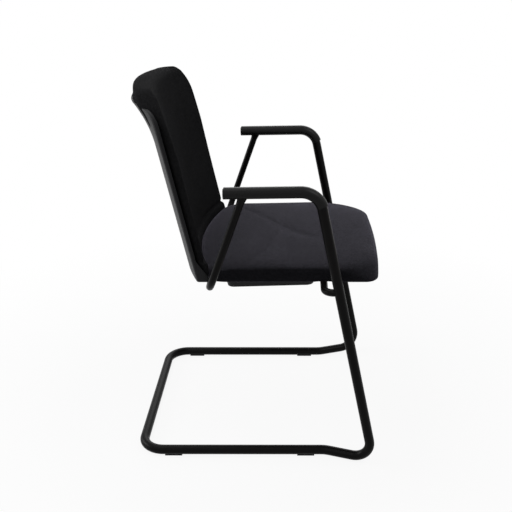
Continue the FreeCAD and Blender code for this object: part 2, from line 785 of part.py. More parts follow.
def cover_block(shrink, rim_height):
    """The tray's outside, or its inside when it is shrunk by the wall."""
    front = num("CoverPlace") + shrink
    rear = num("CoverPlace") + num("CoverLength") - shrink
    half_width = num("CoverWidth") / 2 - shrink
    corner = num("CoverCorner") - shrink
    middle = num("CoverPlace") + num("CoverLength") / 2
    slope = num("CoverSlope") / num("CoverLength")
    taper = num("CoverTaper")
    rim = rounded_rectangle(half_width, front, rear, corner, level(rim_height))

    def floor_at(along):
        return num("SeatUnderside") - num("CoverDepth") + shrink - slope * (along - middle)

    floor = rounded_rectangle(half_width - taper, front + taper, rear - taper, corner, floor_at)
    return Part.makeLoft([floor, rim], True, True)


def seat_under_cover():
    """The shallow tray under the seat, open at the top, with four screw columns."""
    rim = num("SeatUnderside")
    outside = cover_block(0, rim)
    tray = outside.cut(cover_block(num("CoverWall"), rim))
    depth = num("CoverDepth") + num("CoverSlope")
    bore = num("CoverScrewDiameter") / 2 + num("SkinFit")
    for spot in cover_column_spots():
        foot = spot + Vector(0, 0, rim - depth)
        column = Part.makeCylinder(num("ColumnDiameter") / 2, depth, foot).common(outside)
        tray = tray.fuse(column)
    for spot in cover_column_spots():
        tray = tray.cut(Part.makeCylinder(bore, depth, spot + Vector(0, 0, rim - depth)))
    return modelled("seat_under_cover", tray.removeSplitter())


def cover_floor_height(along):
    """The height of the tray's outer floor."""
    middle = num("CoverPlace") + num("CoverLength") / 2
    drop = num("CoverSlope") / num("CoverLength") * (along - middle)
    return num("SeatUnderside") - num("CoverDepth") - drop


def under_cover_screws():
    """Four pan-head screws from under the tray into the seat board."""
    screws = []
    for spot in cover_column_spots():
        seat = cover_floor_height(spot.y) - num("SkinFit")
        radius = num("CoverScrewDiameter") / 2
        length = num("SeatUnderside") + num("CoverScrewGrip") - seat
        shank = Part.makeCylinder(radius, length, spot + Vector(0, 0, seat))
        head_foot = spot + Vector(0, 0, seat - radius)
        rim = num("CoverScrewHead") / 2
        head = Part.makeCone(rim - radius / 2, rim, radius, head_foot)
        screws.append(head.fuse(shank))
    return modelled("under_cover_screws", Part.makeCompound(screws))


def seat_lug(name, across, along):
    """A steel lug welded to a seat tube and reaching ahead of it, with two holes for the seat's screws."""
    body = new_body(name)
    half = cell("LugWidth") / 2
    plate = polygon(body, "XY_Plane", [
        (-half, -cell("LugReach")),
        (half, -cell("LugReach")),
        (half, NONE),
        (-half, NONE),
    ])
    pad(body, plate, cell("LugThickness"), reverse=True)
    hole = cell("ScrewHole") / 2
    spread = cell("LugHoleSpread") / 2
    holes = [(-spread, -cell("LugHolePlace"), hole), (spread, -cell("LugHolePlace"), hole)]
    pocket(body, discs(body, "XY_Plane", holes))
    pocket(body, discs(body, "YZ_Plane", [(NONE, -BRACE_RADIUS, BRACE_RADIUS)]))
    plate_cut = body.Tip
    corners = body.newObject("PartDesign::Fillet", body.Name + "_corners")
    corners.Base = (plate_cut, upright_edges(plate_cut.Shape, -num("LugReach")))
    corners.setExpression("Radius", cell("LugCorner").text)
    body.Tip = corners
    in_place(body, across, along, num("SeatUnderside"))
    return body


def upright_edges(shape, along):
    """Names of the short vertical edges that stand at a distance along Y."""
    names = []
    for index, edge in enumerate(shape.Edges, start=1):
        ends = [vertex.Point for vertex in edge.Vertexes]
        if len(ends) != 2:
            continue
        upright = abs(ends[0].x - ends[1].x) < 0.01 and abs(ends[0].y - ends[1].y) < 0.01
        if upright and abs(ends[0].y - along) < 0.01:
            names.append("Edge" + str(index))
    return names


def screw_master(name, metal, board):
    """One machine screw on the Z axis, with the underside of its head at zero."""
    body = new_body(name)
    radius = cell("ScrewDiameter") / 2
    head = cell("ScrewHead") / 2
    height = cell("ScrewHeadHeight")
    length = metal + board - cell("ScrewEndGap")
    turned(body, [
        (NONE, -height),
        (head - height / 3, -height),
        (head, -height * 2 / 3),
        (head, NONE),
        (radius, NONE),
        (radius, length),
        (NONE, length),
    ])
    doc.recompute()
    return body


def nut_master(name, board):
    """One tee nut on the Z axis, with the top of its flange at zero and its barrel below."""
    body = new_body(name)
    bore = cell("ScrewDiameter") / 2 + cell("NutFit")
    barrel = cell("NutBarrel") / 2
    flange = cell("NutFlange") / 2
    foot = cell("ScrewEndGap") - board
    turned(body, [
        (bore, foot),
        (barrel, foot),
        (barrel, -cell("NutFlangeHeight")),
        (flange, -cell("NutFlangeHeight")),
        (flange, NONE),
        (bore, NONE),
    ])
    doc.recompute()
    return body


def copies(name, master, placements):
    """A group of separate copies of one fastener, as one node."""
    solids = []
    for placement in placements:
        solid = master.Shape.copy()
        solid.Placement = placement.multiply(solid.Placement)
        solids.append(solid)
    return modelled(name, Part.makeCompound(solids))


def seat_fasteners():
    """The eight seat screws and their tee nuts."""
    screw = screw_master("seat_screw", cell("LugThickness"), cell("BoardThickness"))
    nut = nut_master("seat_nut", cell("BoardThickness"))
    under_lug = num("SeatUnderside") - num("LugThickness")
    board_top = num("SeatUnderside") + num("BoardThickness") - num("NutFit")
    spots = list(seat_screw_spots())
    screws = [Placement(spot + Vector(0, 0, under_lug), Rotation()) for spot in spots]
    nuts = [Placement(spot + Vector(0, 0, board_top), Rotation()) for spot in spots]
    return [copies("seat_lug_screws", screw, screws), copies("seat_tee_nuts", nut, nuts)]


# Back

# How square the rolled top stands before it turns over, above and at its lower edge.
ROLL_CROWN_POWER = 4
ROLL_FOOT_POWER = 8
# Shares of the roll's depth by which it is drawn in: its front and rear at the top, its rear at the foot.
ROLL_FRONT_SHARE = 0.55
ROLL_REAR_SHARE = 0.35
ROLL_FOOT_SHARE = 0.12


def side_edge(height):
    """How far back the shell's rear side edge is at a height."""
    return num("BackPlace") + (height - num("BackFoot")) * math.tan(math.radians(num("BackLean")))


def back_bow(height):
    """How far the shell's rear bulges at a height: more where its top flares."""
    rise = (height - (num("ShellTop") - num("LipFlareHeight"))) / num("LipFlareHeight")
    rise = min(max(rise, 0), 1)
    return num("BackBow") + num("LipFlare") * rise * rise


def rear_face(across, height):
    """How far back the shell's rear face is."""
    bow = back_bow(height)
    return side_edge(height) + bow - circle_drop(num("BackWidth") / 2, bow, across)


def front_face(across, height):
    """How far back the back cushion's plain face is."""
    dish = num("BackDish")
    drop = circle_drop(num("BackCushionWidth") / 2, dish, across)
    return side_edge(height) - num("BackCrest") + dish - drop


def rear_normal(across, height):
    """The direction square to the rear face, outwards."""
    step = 1.0
    slope_x = (rear_face(across + step, height) - rear_face(across - step, height)) / (2 * step)
    slope_z = (rear_face(across, height + step) - rear_face(across, height - step)) / (2 * step)
    return Vector(-slope_x, 1, -slope_z).normalize()


def rounded_half_width(half_width, corner, top, height):
    """The half width at a height of a form whose top corners are rounded."""
    climb = max(height - (top - corner), 0)
    return half_width - corner + math.sqrt(max(corner ** 2 - climb ** 2, 0))


def bow_section(reach, front, rear, height, end_swell=0.0):
    """A level outline between a front and a rear arc, given as functions of the distance across."""
    def at(across, along):
        return Vector(across, along(abs(across)), height)

    half_depth = (front(reach) + rear(reach)) / 2
    edges = [arc_edge(at(-reach, front), at(0, front), at(reach, front))]
    tips = []
    for sign in (1, -1):
        tips.append(Vector(sign * (reach + end_swell), half_depth, height))
    if end_swell:
        edges.append(arc_edge(at(reach, front), tips[0], at(reach, rear)))
    else:
        edges.append(line_edge(at(reach, front), at(reach, rear)))
    edges.append(arc_edge(at(reach, rear), at(0, rear), at(-reach, rear)))
    if end_swell:
        edges.append(arc_edge(at(-reach, rear), tips[1], at(-reach, front)))
    else:
        edges.append(line_edge(at(-reach, rear), at(-reach, front)))
    return Part.Wire(edges)


def flange_depth(height):
    """The depth of the shell's side flanges, which widen towards the foot."""
    climb = min((height - num("BackFoot")) / num("ShellFootHeight"), 1)
    return num("ShellFlange") + (num("ShellFootFlange") - num("ShellFlange")) * (1 - climb)


def back_levels(low, high, extra=()):
    """Heights of the outlines of a back piece: the back's common levels, and some of its own."""
    step = num("BackLevelStep")
    first = math.floor((low - num("BackFoot")) / step) + 1
    last = math.ceil((high - num("BackFoot")) / step) - 1
    common = [num("BackFoot") + step * index for index in range(first, last + 1)]
    own = [low, high] + [height for height in extra if low < height < high]
    spaced = [height for height in common if min(abs(height - other) for other in own) > step / 20]
    return sorted(own + spaced)


def shell_band(shrink, front_extra, foot, top):
    """The block that the shell is cut from, or the hollow in it when it is shrunk by the wall."""
    corner = num("ShellTopCorner")
    bend = top - corner
    knee = num("BackFoot") + num("ShellFootHeight")
    rounding = [bend + corner * step for step in closing_steps(6)]
    wires = []
    for height in back_levels(foot, top, [knee] + rounding[:-1]):
        reach = rounded_half_width(num("BackWidth") / 2 - shrink, corner, top, height)

        def front(across, height=height):
            return rear_face(across, height) - flange_depth(height) - front_extra

        def rear(across, height=height):
            return rear_face(across, height) - shrink

        wires.append(bow_section(reach, front, rear, height))
    return loft(wires)


def panel_depth():
    """How far the inner board's rear is ahead of the shell's rear face."""
    return num("ShellWall") + num("PanelGap")


def back_shell():
    """The moulded rear shell: bulged rear, side flanges, a lipped top edge and four standoffs."""
    wall = num("ShellWall")
    outside = shell_band(0, 0, num("BackFoot"), num("ShellTop"))
    hollow = shell_band(wall, wall, num("BackFoot") - wall, num("ShellTop") - wall)
    shell = outside.cut(hollow)
    pin = num("PegDiameter") / 2
    length = num("PanelGap") + wall / 2
    for across, height in standoff_spots():
        outward = rear_normal(across, height)
        surface = Vector(across, rear_face(across, height), height)
        foot = surface - outward * (panel_depth() - num("SkinFit"))
        post = Part.makeCylinder(num("StandoffDiameter") / 2, length, foot, outward)
        tip = foot - outward * (num("PanelThickness") - num("SkinFit"))
        post = post.fuse(Part.makeCylinder(pin, num("PanelThickness") + wall, tip, outward))
        shell = shell.fuse(post)
    return modelled("back_shell", shell)


def standoff_spots():
    """Distance across and height of the four standoffs."""
    for height in (num("LowerStandoffHeight"), num("UpperStandoffHeight")):
        for sign in (-1, 1):
            yield sign * num("StandoffSpread") / 2, height


def bolt_spots():
    """Distance across and height of the four bolts that hold the back to its uprights."""
    for height in (num("LowerBoltHeight"), num("UpperBoltHeight")):
        for sign in (-1, 1):
            yield sign * num("UprightPlace"), height


def band_between(reach_low, reach_high, depth_front, depth_rear, heights):
    """A curved slab parallel to the shell's rear face, between two depths ahead of it."""
    wires = []
    for height in heights:
        def front(across, height=height):
            return rear_face(across, height) - depth_front

        def rear(across, height=height):
            return rear_face(across, height) - depth_rear

        ahead = [Vector(x, front(x), height) for x in spread(reach_low, reach_high)]
        behind = [Vector(x, rear(x), height) for x in spread(reach_high, reach_low)]
        wires.append(Part.Wire([
            arc_edge(*ahead),
            line_edge(ahead[-1], behind[0]),
            arc_edge(*behind),
            line_edge(behind[-1], ahead[0]),
        ]))
    return loft(wires)


def spread(start, end):
    """The start, the middle and the end of a span."""
    return start, (start + end) / 2, end


def even_heights(low, high, count):
    """Heights at even steps, both ends included."""
    return [low + (high - low) * index / (count - 1) for index in range(count)]


def back_board():
    """The curved inner board, drilled for the tee nuts and for the shell's pins."""
    reach = num("BackCushionWidth") / 2 - num("PanelInset")
    depth = panel_depth()
    board = band_between(
        -reach, reach, depth + num("PanelThickness"), depth,
        back_levels(num("PanelFoot"), num("PanelTop")),
    )
    board = board.common(board_outline(reach))
    hole = num("PegDiameter") / 2 + num("PegFit")
    long = 3 * num("PanelThickness")
    for across, height in standoff_spots():
        outward = rear_normal(across, height)
        start = Vector(across, rear_face(across, height), height) - outward * (depth + long / 2)
        board = board.cut(Part.makeCylinder(hole, long, start, outward))
    barrel = num("NutBarrel") / 2 + num("NutFit")
    for across, height in bolt_spots():
        outward = rear_normal(across, height)
        start = Vector(across, rear_face(across, height), height) - outward * (depth + long / 2)
        board = board.cut(Part.makeCylinder(barrel, long, start, outward))
        sink = panel_front_point(across, height) - outward * num("PanelThickness")
        flange = num("NutFlange") / 2 + num("NutFit")
        recess = num("PanelThickness") + num("NutFlangeHeight") + num("NutFit")
        board = board.cut(Part.makeCylinder(flange, recess, sink, outward))
    return modelled("back_board", board)


def panel_front_point(across, height):
    """The point of the inner board's front that lies square ahead of a place on the rear face."""
    outward = rear_normal(across, height)
    surface = Vector(across, rear_face(across, height), height)
    return surface - outward * ((panel_depth() + num("PanelThickness")) * outward.y)


def board_outline(reach):
    """The inner board's outline seen from the front, as a prism along the chair's depth."""
    outline = rounded_rectangle(reach, num("PanelFoot"), num("PanelTop"), num("ShellTopCorner"), level(0))
    depth = num("FloorDepth") + num("BackTop")
    prism = Part.Face(outline).extrude(Vector(0, 0, depth))
    prism.rotate(Vector(0, 0, 0), Vector(1, 0, 0), 90)
    prism.translate(Vector(0, depth, 0))
    return prism


def foot_swell(height):
    """How far the cushion's face stands proud near its foot: the roll, then the sewn channel."""
    rise = height - num("BackCushionFoot")
    roll = num("FootRollHeight")
    fade = num("ChannelFade")
    if rise > roll + fade:
        return 0.0
    if rise > roll:
        return -num("ChannelDepth") * (1 - (rise - roll) / fade)
    swell = num("FootRollSwell") + num("ChannelDepth")
    return swell * math.sin(math.pi * rise / roll) - num("ChannelDepth")


def back_cushion():
    """The back cushion: a dished face, a sewn roll at the foot and a thick roll over the shell's top."""
    foot = num("BackCushionFoot")
    roll = num("FootRollHeight")
    join = num("ShellTop") + num("RollGap")
    swell = num("BackSideRound")
    half_width = num("BackCushionWidth") / 2
    roll_levels = even_heights(foot, foot + roll, 10) + [foot + roll + num("ChannelFade")]
    panel = []
    for height in back_levels(foot, join, roll_levels):
        def front(across, height=height):
            return front_face(across, height) - foot_swell(height)

        def rear(across, height=height):
            return rear_face(across, height) - panel_depth() - num("PanelThickness") - num("SoftFit")

        reach = rounded_half_width(half_width, num("BackTopCorner"), num("BackTop"), height) - swell
        panel.append(bow_section(reach, front, rear, height, swell))
    roll_wires = []
    top = num("BackTop")
    for share in closing_steps(10):
        height = join + (top - join) * share
        dome = crown_inset(share, 1, ROLL_CROWN_POWER)
        lower = crown_inset(1 - share, 1, ROLL_FOOT_POWER)

        def front(across, height=height, dome=dome):
            depth = roll_rear(across) - front_face(across, height)
            return front_face(across, height) + ROLL_FRONT_SHARE * dome * depth

        def rear(across, height=height, dome=dome, lower=lower):
            depth = roll_rear(across) - front_face(across, height)
            return roll_rear(across) - (ROLL_REAR_SHARE * dome + ROLL_FOOT_SHARE * lower) * depth

        reach = rounded_half_width(half_width, num("BackTopCorner"), top, height) - swell
        roll_wires.append(bow_section(reach, front, rear, height, swell))
    cushion = loft(panel).fuse(loft(roll_wires))
    return modelled("back_cushion", cushion)


def roll_rear(across):
    """How far back the rolled top of the cushion reaches."""
    return rear_face(across, num("ShellTop")) - num("RollInset")


def back_upright(side, sign):
    """A steel strap: a foot welded to the rear seat tube and a curved upright behind the inner board."""
    inner = num("UprightPlace") - num("UprightWidth") / 2
    outer = num("UprightPlace") + num("UprightWidth") / 2
    low_x, high_x = (inner, outer) if sign > 0 else (-outer, -inner)
    depth = panel_depth()
    thickness = num("UprightThickness")
    sole = SEAT_TUBE_AXIS - thickness / 2
    levels = back_levels(sole, num("UprightTop"))
    strap = band_between(low_x, high_x, depth, depth - thickness, levels)
    rear = rear_face(num("UprightPlace"), sole) - depth + thickness / 2
    foot = Part.makeBox(num("UprightWidth"), rear - num("RearTubePlace"), thickness)
    foot.translate(Vector(low_x, num("RearTubePlace"), sole))
    strap = strap.fuse(foot).cut(rod(rear_tube_path(), BRACE_RADIUS))
    hole = num("ScrewHole") / 2
    for across, height in bolt_spots():
        outward = rear_normal(across, height)
        start = Vector(across, rear_face(across, height), height) - outward * (2 * depth)
        strap = strap.cut(Part.makeCylinder(hole, 4 * depth, start, outward))
    return modelled("back_upright_" + side, strap)


def back_fasteners():
    """The four bolts of the back, headed behind their uprights, and their tee nuts."""
    screw = screw_master("back_screw", cell("UprightThickness"), cell("PanelThickness"))
    nut = nut_master("back_nut", cell("PanelThickness"))
    bolts = []
    nuts = []
    for across, height in bolt_spots():
        outward = rear_normal(across, height)
        surface = Vector(across, rear_face(across, height), height)
        seat = surface - outward * ((panel_depth() - num("UprightThickness")) * outward.y - num("SkinFit"))
        inward = Rotation(Vector(0, 0, 1), outward * -1)
        bolts.append(Placement(seat, inward))
        nuts.append(Placement(panel_front_point(across, height) + outward * num("NutFit"), inward))
    return [copies("back_bolts", screw, bolts), copies("back_tee_nuts", nut, nuts)]


# The chair

def chair_pieces():
    """Every sub-part of the chair, in the order that it is put together."""
    pieces = [frame_tube(), rear_support_tube(), front_cross_tube()]
    for side, sign in SIDES:
        pieces += [strut_collar(side, sign), arm_pad(side, sign), arm_end_plug(side, sign)]
    pieces += [glide(name, spot) for name, spot in glide_places()]
    pieces += [seat_board(), seat_cushion(), seat_under_cover(), under_cover_screws()]
    pieces += [seat_lug(*place) for place in lug_places()]
    pieces += [back_shell(), back_board(), back_cushion()]
    pieces += [back_upright(side, sign) for side, sign in SIDES]
    return pieces + seat_fasteners() + back_fasteners()


def check(pieces):
    """Stop if any object failed to build or any sub-part is empty or broken."""
    for thing in doc.Objects:
        if "Invalid" in thing.State or "Error" in thing.State:
            raise RuntimeError(thing.Label + " failed: " + ", ".join(thing.State))
    for piece in pieces:
        if piece.Shape.isNull() or not piece.Shape.isValid() or not piece.Shape.Solids:
            raise RuntimeError(piece.Label + " has no sound solid")


def export(pieces):
    """Write each sub-part to its own file."""
    os.makedirs("parts", exist_ok=True)
    for piece in pieces:
        piece.Shape.exportStep(os.path.join("parts", piece.Label + ".step"))
        box = piece.Shape.BoundBox
        print(piece.Label, len(piece.Shape.Solids), "solids,", round(piece.Shape.Volume), "mm3,",
              round(box.XLength, 1), round(box.YLength, 1), round(box.ZLength, 1))


all_pieces = chair_pieces()
doc.recompute()
check(all_pieces)
export(all_pieces)
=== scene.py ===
# Cantilever visitor's chair with arms: upholstery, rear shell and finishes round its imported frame.
# Lengths are in metres. The chair faces -Y, +Z is up and the floor is at nought.

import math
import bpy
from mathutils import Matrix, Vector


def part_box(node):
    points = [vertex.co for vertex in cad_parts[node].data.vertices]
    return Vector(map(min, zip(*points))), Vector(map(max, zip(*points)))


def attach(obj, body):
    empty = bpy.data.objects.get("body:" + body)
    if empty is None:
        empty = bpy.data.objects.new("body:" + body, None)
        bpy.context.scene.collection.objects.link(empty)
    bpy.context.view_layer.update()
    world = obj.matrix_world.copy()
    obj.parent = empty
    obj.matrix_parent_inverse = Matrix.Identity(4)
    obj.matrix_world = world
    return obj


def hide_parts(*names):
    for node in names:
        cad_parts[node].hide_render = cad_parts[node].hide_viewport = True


bl_info = {
    "name": "Cantilever chair",
    "version": (1, 0, 0),
    "blender": (4, 5, 0),
    "location": "3D View > Sidebar > Chair",
    "description": "Upholstery, rear shell and finishes of a cantilever visitor's chair",
    "category": "Add Mesh",
}

import bmesh
import bpy
import numpy as np
from bpy.props import FloatProperty, PointerProperty, StringProperty
from mathutils import Vector

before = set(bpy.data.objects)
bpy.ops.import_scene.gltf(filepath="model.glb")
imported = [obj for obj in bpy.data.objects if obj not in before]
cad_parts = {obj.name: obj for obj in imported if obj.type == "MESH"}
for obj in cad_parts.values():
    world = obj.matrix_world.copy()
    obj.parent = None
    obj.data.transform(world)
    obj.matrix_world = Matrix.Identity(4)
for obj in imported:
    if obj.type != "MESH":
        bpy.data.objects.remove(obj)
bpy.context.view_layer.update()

MILLIMETRE = 0.001
CLEARANCE = 0.4 * MILLIMETRE
BODY = "root"
SIDES = (("left", 1), ("right", -1))

SEAT_LOW, SEAT_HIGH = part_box("seat_cushion")
BOARD_LOW, BOARD_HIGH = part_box("seat_board")
SHELL_LOW, SHELL_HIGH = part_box("back_shell")
BACK_LOW, BACK_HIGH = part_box("back_cushion")
PANEL_LOW, PANEL_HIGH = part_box("back_board")


# Sizes and colours that can be set

def length(name, default, description):
    """A length property in metres."""
    return FloatProperty(name=name, default=default, description=description,
                         unit="LENGTH", subtype="DISTANCE")


def colour(name, default, description):
    """A colour property, kept as the six sRGB hex digits that a paint card gives."""
    return StringProperty(name=name, default=default, description=description, maxlen=6)


class ChairSeatSizes(bpy.types.PropertyGroup):
    """The seat cushion."""

    front_bow: length("Front bow", 0.0095, "Bow of the seat's front edge")
    front_proud: length("Front swell", 0.003, "How far the middle of the front swells beyond the plain block")
    rear_bow: length("Rear bow", 0.0405, "Bow of the seat's rear edge, which follows the back's dish")
    rear_proud: length("Rear swell", 0.0028, "How far the middle of the rear swells beyond the plain block")
    front_corner: length("Front corners", 0.125, "Plan radius of the front corners at the top")
    front_foot: length("Front foot corners", 0.024, "Plan radius of the front corners at the foot")
    rear_corner: length("Rear corners", 0.034, "Plan radius of the rear corners at the top")
    rear_foot: length("Rear foot corners", 0.008, "Plan radius of the rear corners at the foot")
    waist: length("Waist", 0.014, "Height above the underside at which the cushion is widest")
    skirt: length("Skirt", 0.003, "How far the cover's rim hangs below the board")
    draw_in: length("Draw-in", 0.002, "How far the sides are drawn in at the foot")
    foot_round: length("Foot rounding", 0.004, "Rounding of the cover's lower edge")
    side_crown: length("Side crown", 0.095, "Side to the level part of the crown")
    front_crown: length("Front crown", 0.125, "Front to the level part of the crown")
    rear_crown: length("Rear crown", 0.112, "Rear to the level part of the crown")
    rise: length("Rise", 0.0065, "How much higher the top is at the front")
    top_proud: length("Top swell", 0.0015, "How far the crown swells above the plain block")
    dome: length("Dome", 0.002, "How far the middle of the crown stands above its edge")
    swell: length("Swell", 0.006, "The most that the filling moves the cover")
    crease: length("Crease", 0.0022, "Depth of the pressed crease across the top")


class ChairBackSizes(bpy.types.PropertyGroup):
    """The back: its shell, its board and its cushion."""

    lean: FloatProperty(name="Lean", default=math.radians(11.9), description="How far the back leans",
                        subtype="ANGLE")
    bow: length("Bow", 0.045, "How far the shell's rear bulges between its side edges")
    lip_flare: length("Lip flare", 0.031, "How much further the shell's top flares to the rear")
    lip_drop: length("Lip drop", 0.007, "How far the lip's top edge lies below the plain shell's")
    lip_height: length("Lip height", 0.090, "Height over which the shell flares")
    wall: length("Shell wall", 0.003, "Wall of the moulded shell")
    flange: length("Side flange", 0.0084, "Depth of the shell's side flanges")
    foot_flange: length("Foot flange", 0.027, "Depth of the side flanges at the foot")
    foot_reach: length("Foot reach", 0.005, "How much further forward the flanges reach at the very foot")
    foot_height: length("Foot height", 0.046, "Height over which the flanges widen to the foot")
    shell_corner: length("Shell corners", 0.030, "Radius of the shell's top corners seen from behind")
    shell_round: length("Shell rounding", 0.0035, "Rounding between the shell's rear and its flanges")
    crest: length("Crest", 0.0225, "Shell's side edge to the cushion's crest in front of it, at the top")
    crest_swell: length("Crest swell", 0.0055, "How much further the crests stand out below the top")
    dish: length("Dish", 0.0345, "How far the cushion's face is dished at the top")
    cushion_corner: length("Cushion corners", 0.072, "Radius of the cushion's top corners")
    side_round: length("Side rounding", 0.010, "How far the cushion's sides bulge")
    cheek: length("Cheek taper", 0.040, "How much wider the rear rounding of the sides is near the top")
    roll_height: length("Foot roll", 0.034, "Height of the sewn roll at the foot")
    roll_swell: length("Roll swell", 0.0045, "How far the foot roll stands proud")
    channel: length("Channel", 0.0035, "Depth of the sewn channel above the foot roll")
    channel_fade: length("Channel fade", 0.011, "Height over which the face comes back out of the channel")
    board_room: length("Board room", 0.010, "Room between the board and the shell")
    board: length("Board", 0.006, "Thickness of the board inside the back")
    board_corner: length("Board corners", 0.060, "Radius of the board's corners")
    top_proud: length("Top swell", 0.0005, "How far the top roll swells above the plain block")
    top_crown: length("Top crown", 0.0065, "How much higher the top roll is at its middle")
    roll_tuck: length("Roll tuck", 0.006, "How far the top roll stays in front of the shell's rear")
    roll_round: length("Roll rounding", 0.010, "Rounding under the rear of the top roll")
    swell: length("Swell", 0.003, "The most that the filling moves the cover")


class ChairColours(bpy.types.PropertyGroup):
    """The finishes' colours as sRGB hex digits."""

    paint: colour("Powder coat", "0a0909", "Frame, seat tubes, lugs and uprights")
    pad: colour("Arm pads", "0c0c0c", "Moulded pads, plugs and glides")
    shell: colour("Shell", "0f0f11", "Moulded rear shell and tray")
    seat_cloth: colour("Seat cloth", "111113", "Woven cover of the seat")
    back_cloth: colour("Back cloth", "1c1c1d", "Woven cover of the back")
    plywood: colour("Plywood", "a5835a", "Beech boards of the seat and the back")
    zinc: colour("Zinc", "b4b8bd", "Screws, bolts and tee nuts")
    floor: colour("Floor", "d8d8d9", "Floor of the studio")


# Shared mesh code

def smooth_step(low, high, value):
    """Nought below low, one above high, and 3s squared less 2s cubed between them."""
    share = np.clip((value - low) / (high - low), 0.0, 1.0)
    return share * share * (3.0 - 2.0 * share)


def arch_drop(half_chord, bow, across):
    """How far an arch has fallen at x from its middle: R less the root of R squared less x squared."""
    radius = (half_chord ** 2 + bow ** 2) / (2.0 * bow)
    return radius - np.sqrt(np.maximum(radius ** 2 - across ** 2, 0.0))


def mesh_object(name, points, faces, chart=None, held=None):
    """A smooth-shaded object from an array of points and an array of four-cornered faces."""
    mesh = bpy.data.meshes.new(name)
    mesh.vertices.add(len(points))
    mesh.vertices.foreach_set("co", np.ascontiguousarray(points, np.float32).ravel())
    mesh.loops.add(faces.size)
    mesh.loops.foreach_set("vertex_index", faces.astype(np.int32).ravel())
    mesh.polygons.add(len(faces))
    mesh.polygons.foreach_set("loop_start", np.arange(0, faces.size, 4, dtype=np.int32))
    mesh.update(calc_edges=True)
    mesh.polygons.foreach_set("use_smooth", np.ones(len(faces), bool))
    if chart is not None:
        layer = mesh.uv_layers.new(name="Chart")
        layer.uv.foreach_set("vector", chart[faces.ravel()].astype(np.float32).ravel())
    if held is not None:
        layer = mesh.attributes.new("held", "FLOAT", "POINT")
        layer.data.foreach_set("value", held.astype(np.float32))
    piece = bpy.data.objects.new(name, mesh)
    bpy.context.scene.collection.objects.link(piece)
    return piece


def grid_faces(rows, columns, wrap_rows=False, wrap_columns=False):
    """The corners of each cell of a grid, whose last row or column may join its first."""
    index = np.arange(rows * columns).reshape(rows, columns)
    if wrap_rows:
        index = np.vstack([index, index[:1]])
    if wrap_columns:
        index = np.hstack([index, index[:, :1]])
    cells = [index[:-1, :-1], index[:-1, 1:], index[1:, 1:], index[1:, :-1]]
    return np.stack(cells, axis=-1).reshape(-1, 4)


def grid_object(name, points, wrap_rows=False, wrap_columns=False, chart=None, held=None):
    """An object from points laid out as rows and columns."""
    rows, columns = points.shape[:2]
    faces = grid_faces(rows, columns, wrap_rows, wrap_columns)
    flat_chart = None if chart is None else chart.reshape(-1, 2)
    flat_held = None if held is None else held.reshape(-1)
    return mesh_object(name, points.reshape(-1, 3), faces, flat_chart, flat_held)


def close_up(piece, closed=True):
    """Merges coincident points, drops what they leave behind, and turns a closed form's faces outwards."""
    working = bmesh.new()
    working.from_mesh(piece.data)
    bmesh.ops.remove_doubles(working, verts=working.verts, dist=0.02 * MILLIMETRE)
    bmesh.ops.dissolve_degenerate(working, edges=working.edges, dist=0.01 * MILLIMETRE)
    if closed:
        bmesh.ops.recalc_face_normals(working, faces=working.faces)
    working.to_mesh(piece.data)
    working.free()
    piece.data.update()
    return piece


def joined(name, pieces):
    """One object from several that have no modifiers."""
    with bpy.context.temp_override(active_object=pieces[0], selected_editable_objects=pieces):
        bpy.ops.object.join()
    pieces[0].name = name
    pieces[0].data.name = name
    return pieces[0]


def add_modifier(piece, name, kind, **settings):
    """A live modifier with its settings."""
    modifier = piece.modifiers.new(name, kind)
    for key, value in settings.items():
        setattr(modifier, key, value)
    return modifier


def points_of(mesh):
    """The points of a mesh as an array."""
    points = np.empty(len(mesh.vertices) * 3, np.float32)
    mesh.vertices.foreach_get("co", points)
    return points.reshape(-1, 3).astype(float)


def set_points(mesh, points):
    """Writes an array of points into a mesh."""
    mesh.vertices.foreach_set("co", np.ascontiguousarray(points, np.float32).ravel())
    mesh.update()


def dress(piece, material, slot, *nodes):
    """Gives a piece its material and its body, and hides the nodes that it stands for. The slot argument is
    not used.
    """
    piece.data.materials.clear()
    piece.data.materials.append(material)
    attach(piece, BODY)
    if nodes:
        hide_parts(*nodes)
    return piece


def refinish(material, *nodes):
    """Gives CAD nodes a finish."""
    for name in nodes:
        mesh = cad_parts[name].data
        mesh.materials.clear()
        mesh.materials.append(material)


PADDING_FRAMES = 20
PADDING_EVENING = 60
PADDING_PRESSURE = 2.5
PADDING_QUALITY = 6
PADDING_MASS = 0.2
PADDING_STRETCH = 40.0
PADDING_SHEAR = 10.0
PADDING_BEND = 4.0


def evened(values, edges, held):
    """Values evened over a net: each becomes its neighbours' mean, again and again, or nought where held."""
    near, far = edges.T
    counts = np.maximum(np.bincount(edges.ravel(), minlength=len(values)), 1)
    for _ in range(PADDING_EVENING):
        sums = np.bincount(near, weights=values[far], minlength=len(values))
        sums += np.bincount(far, weights=values[near], minlength=len(values))
        values = np.where(held, 0.0, sums / counts)
    return values


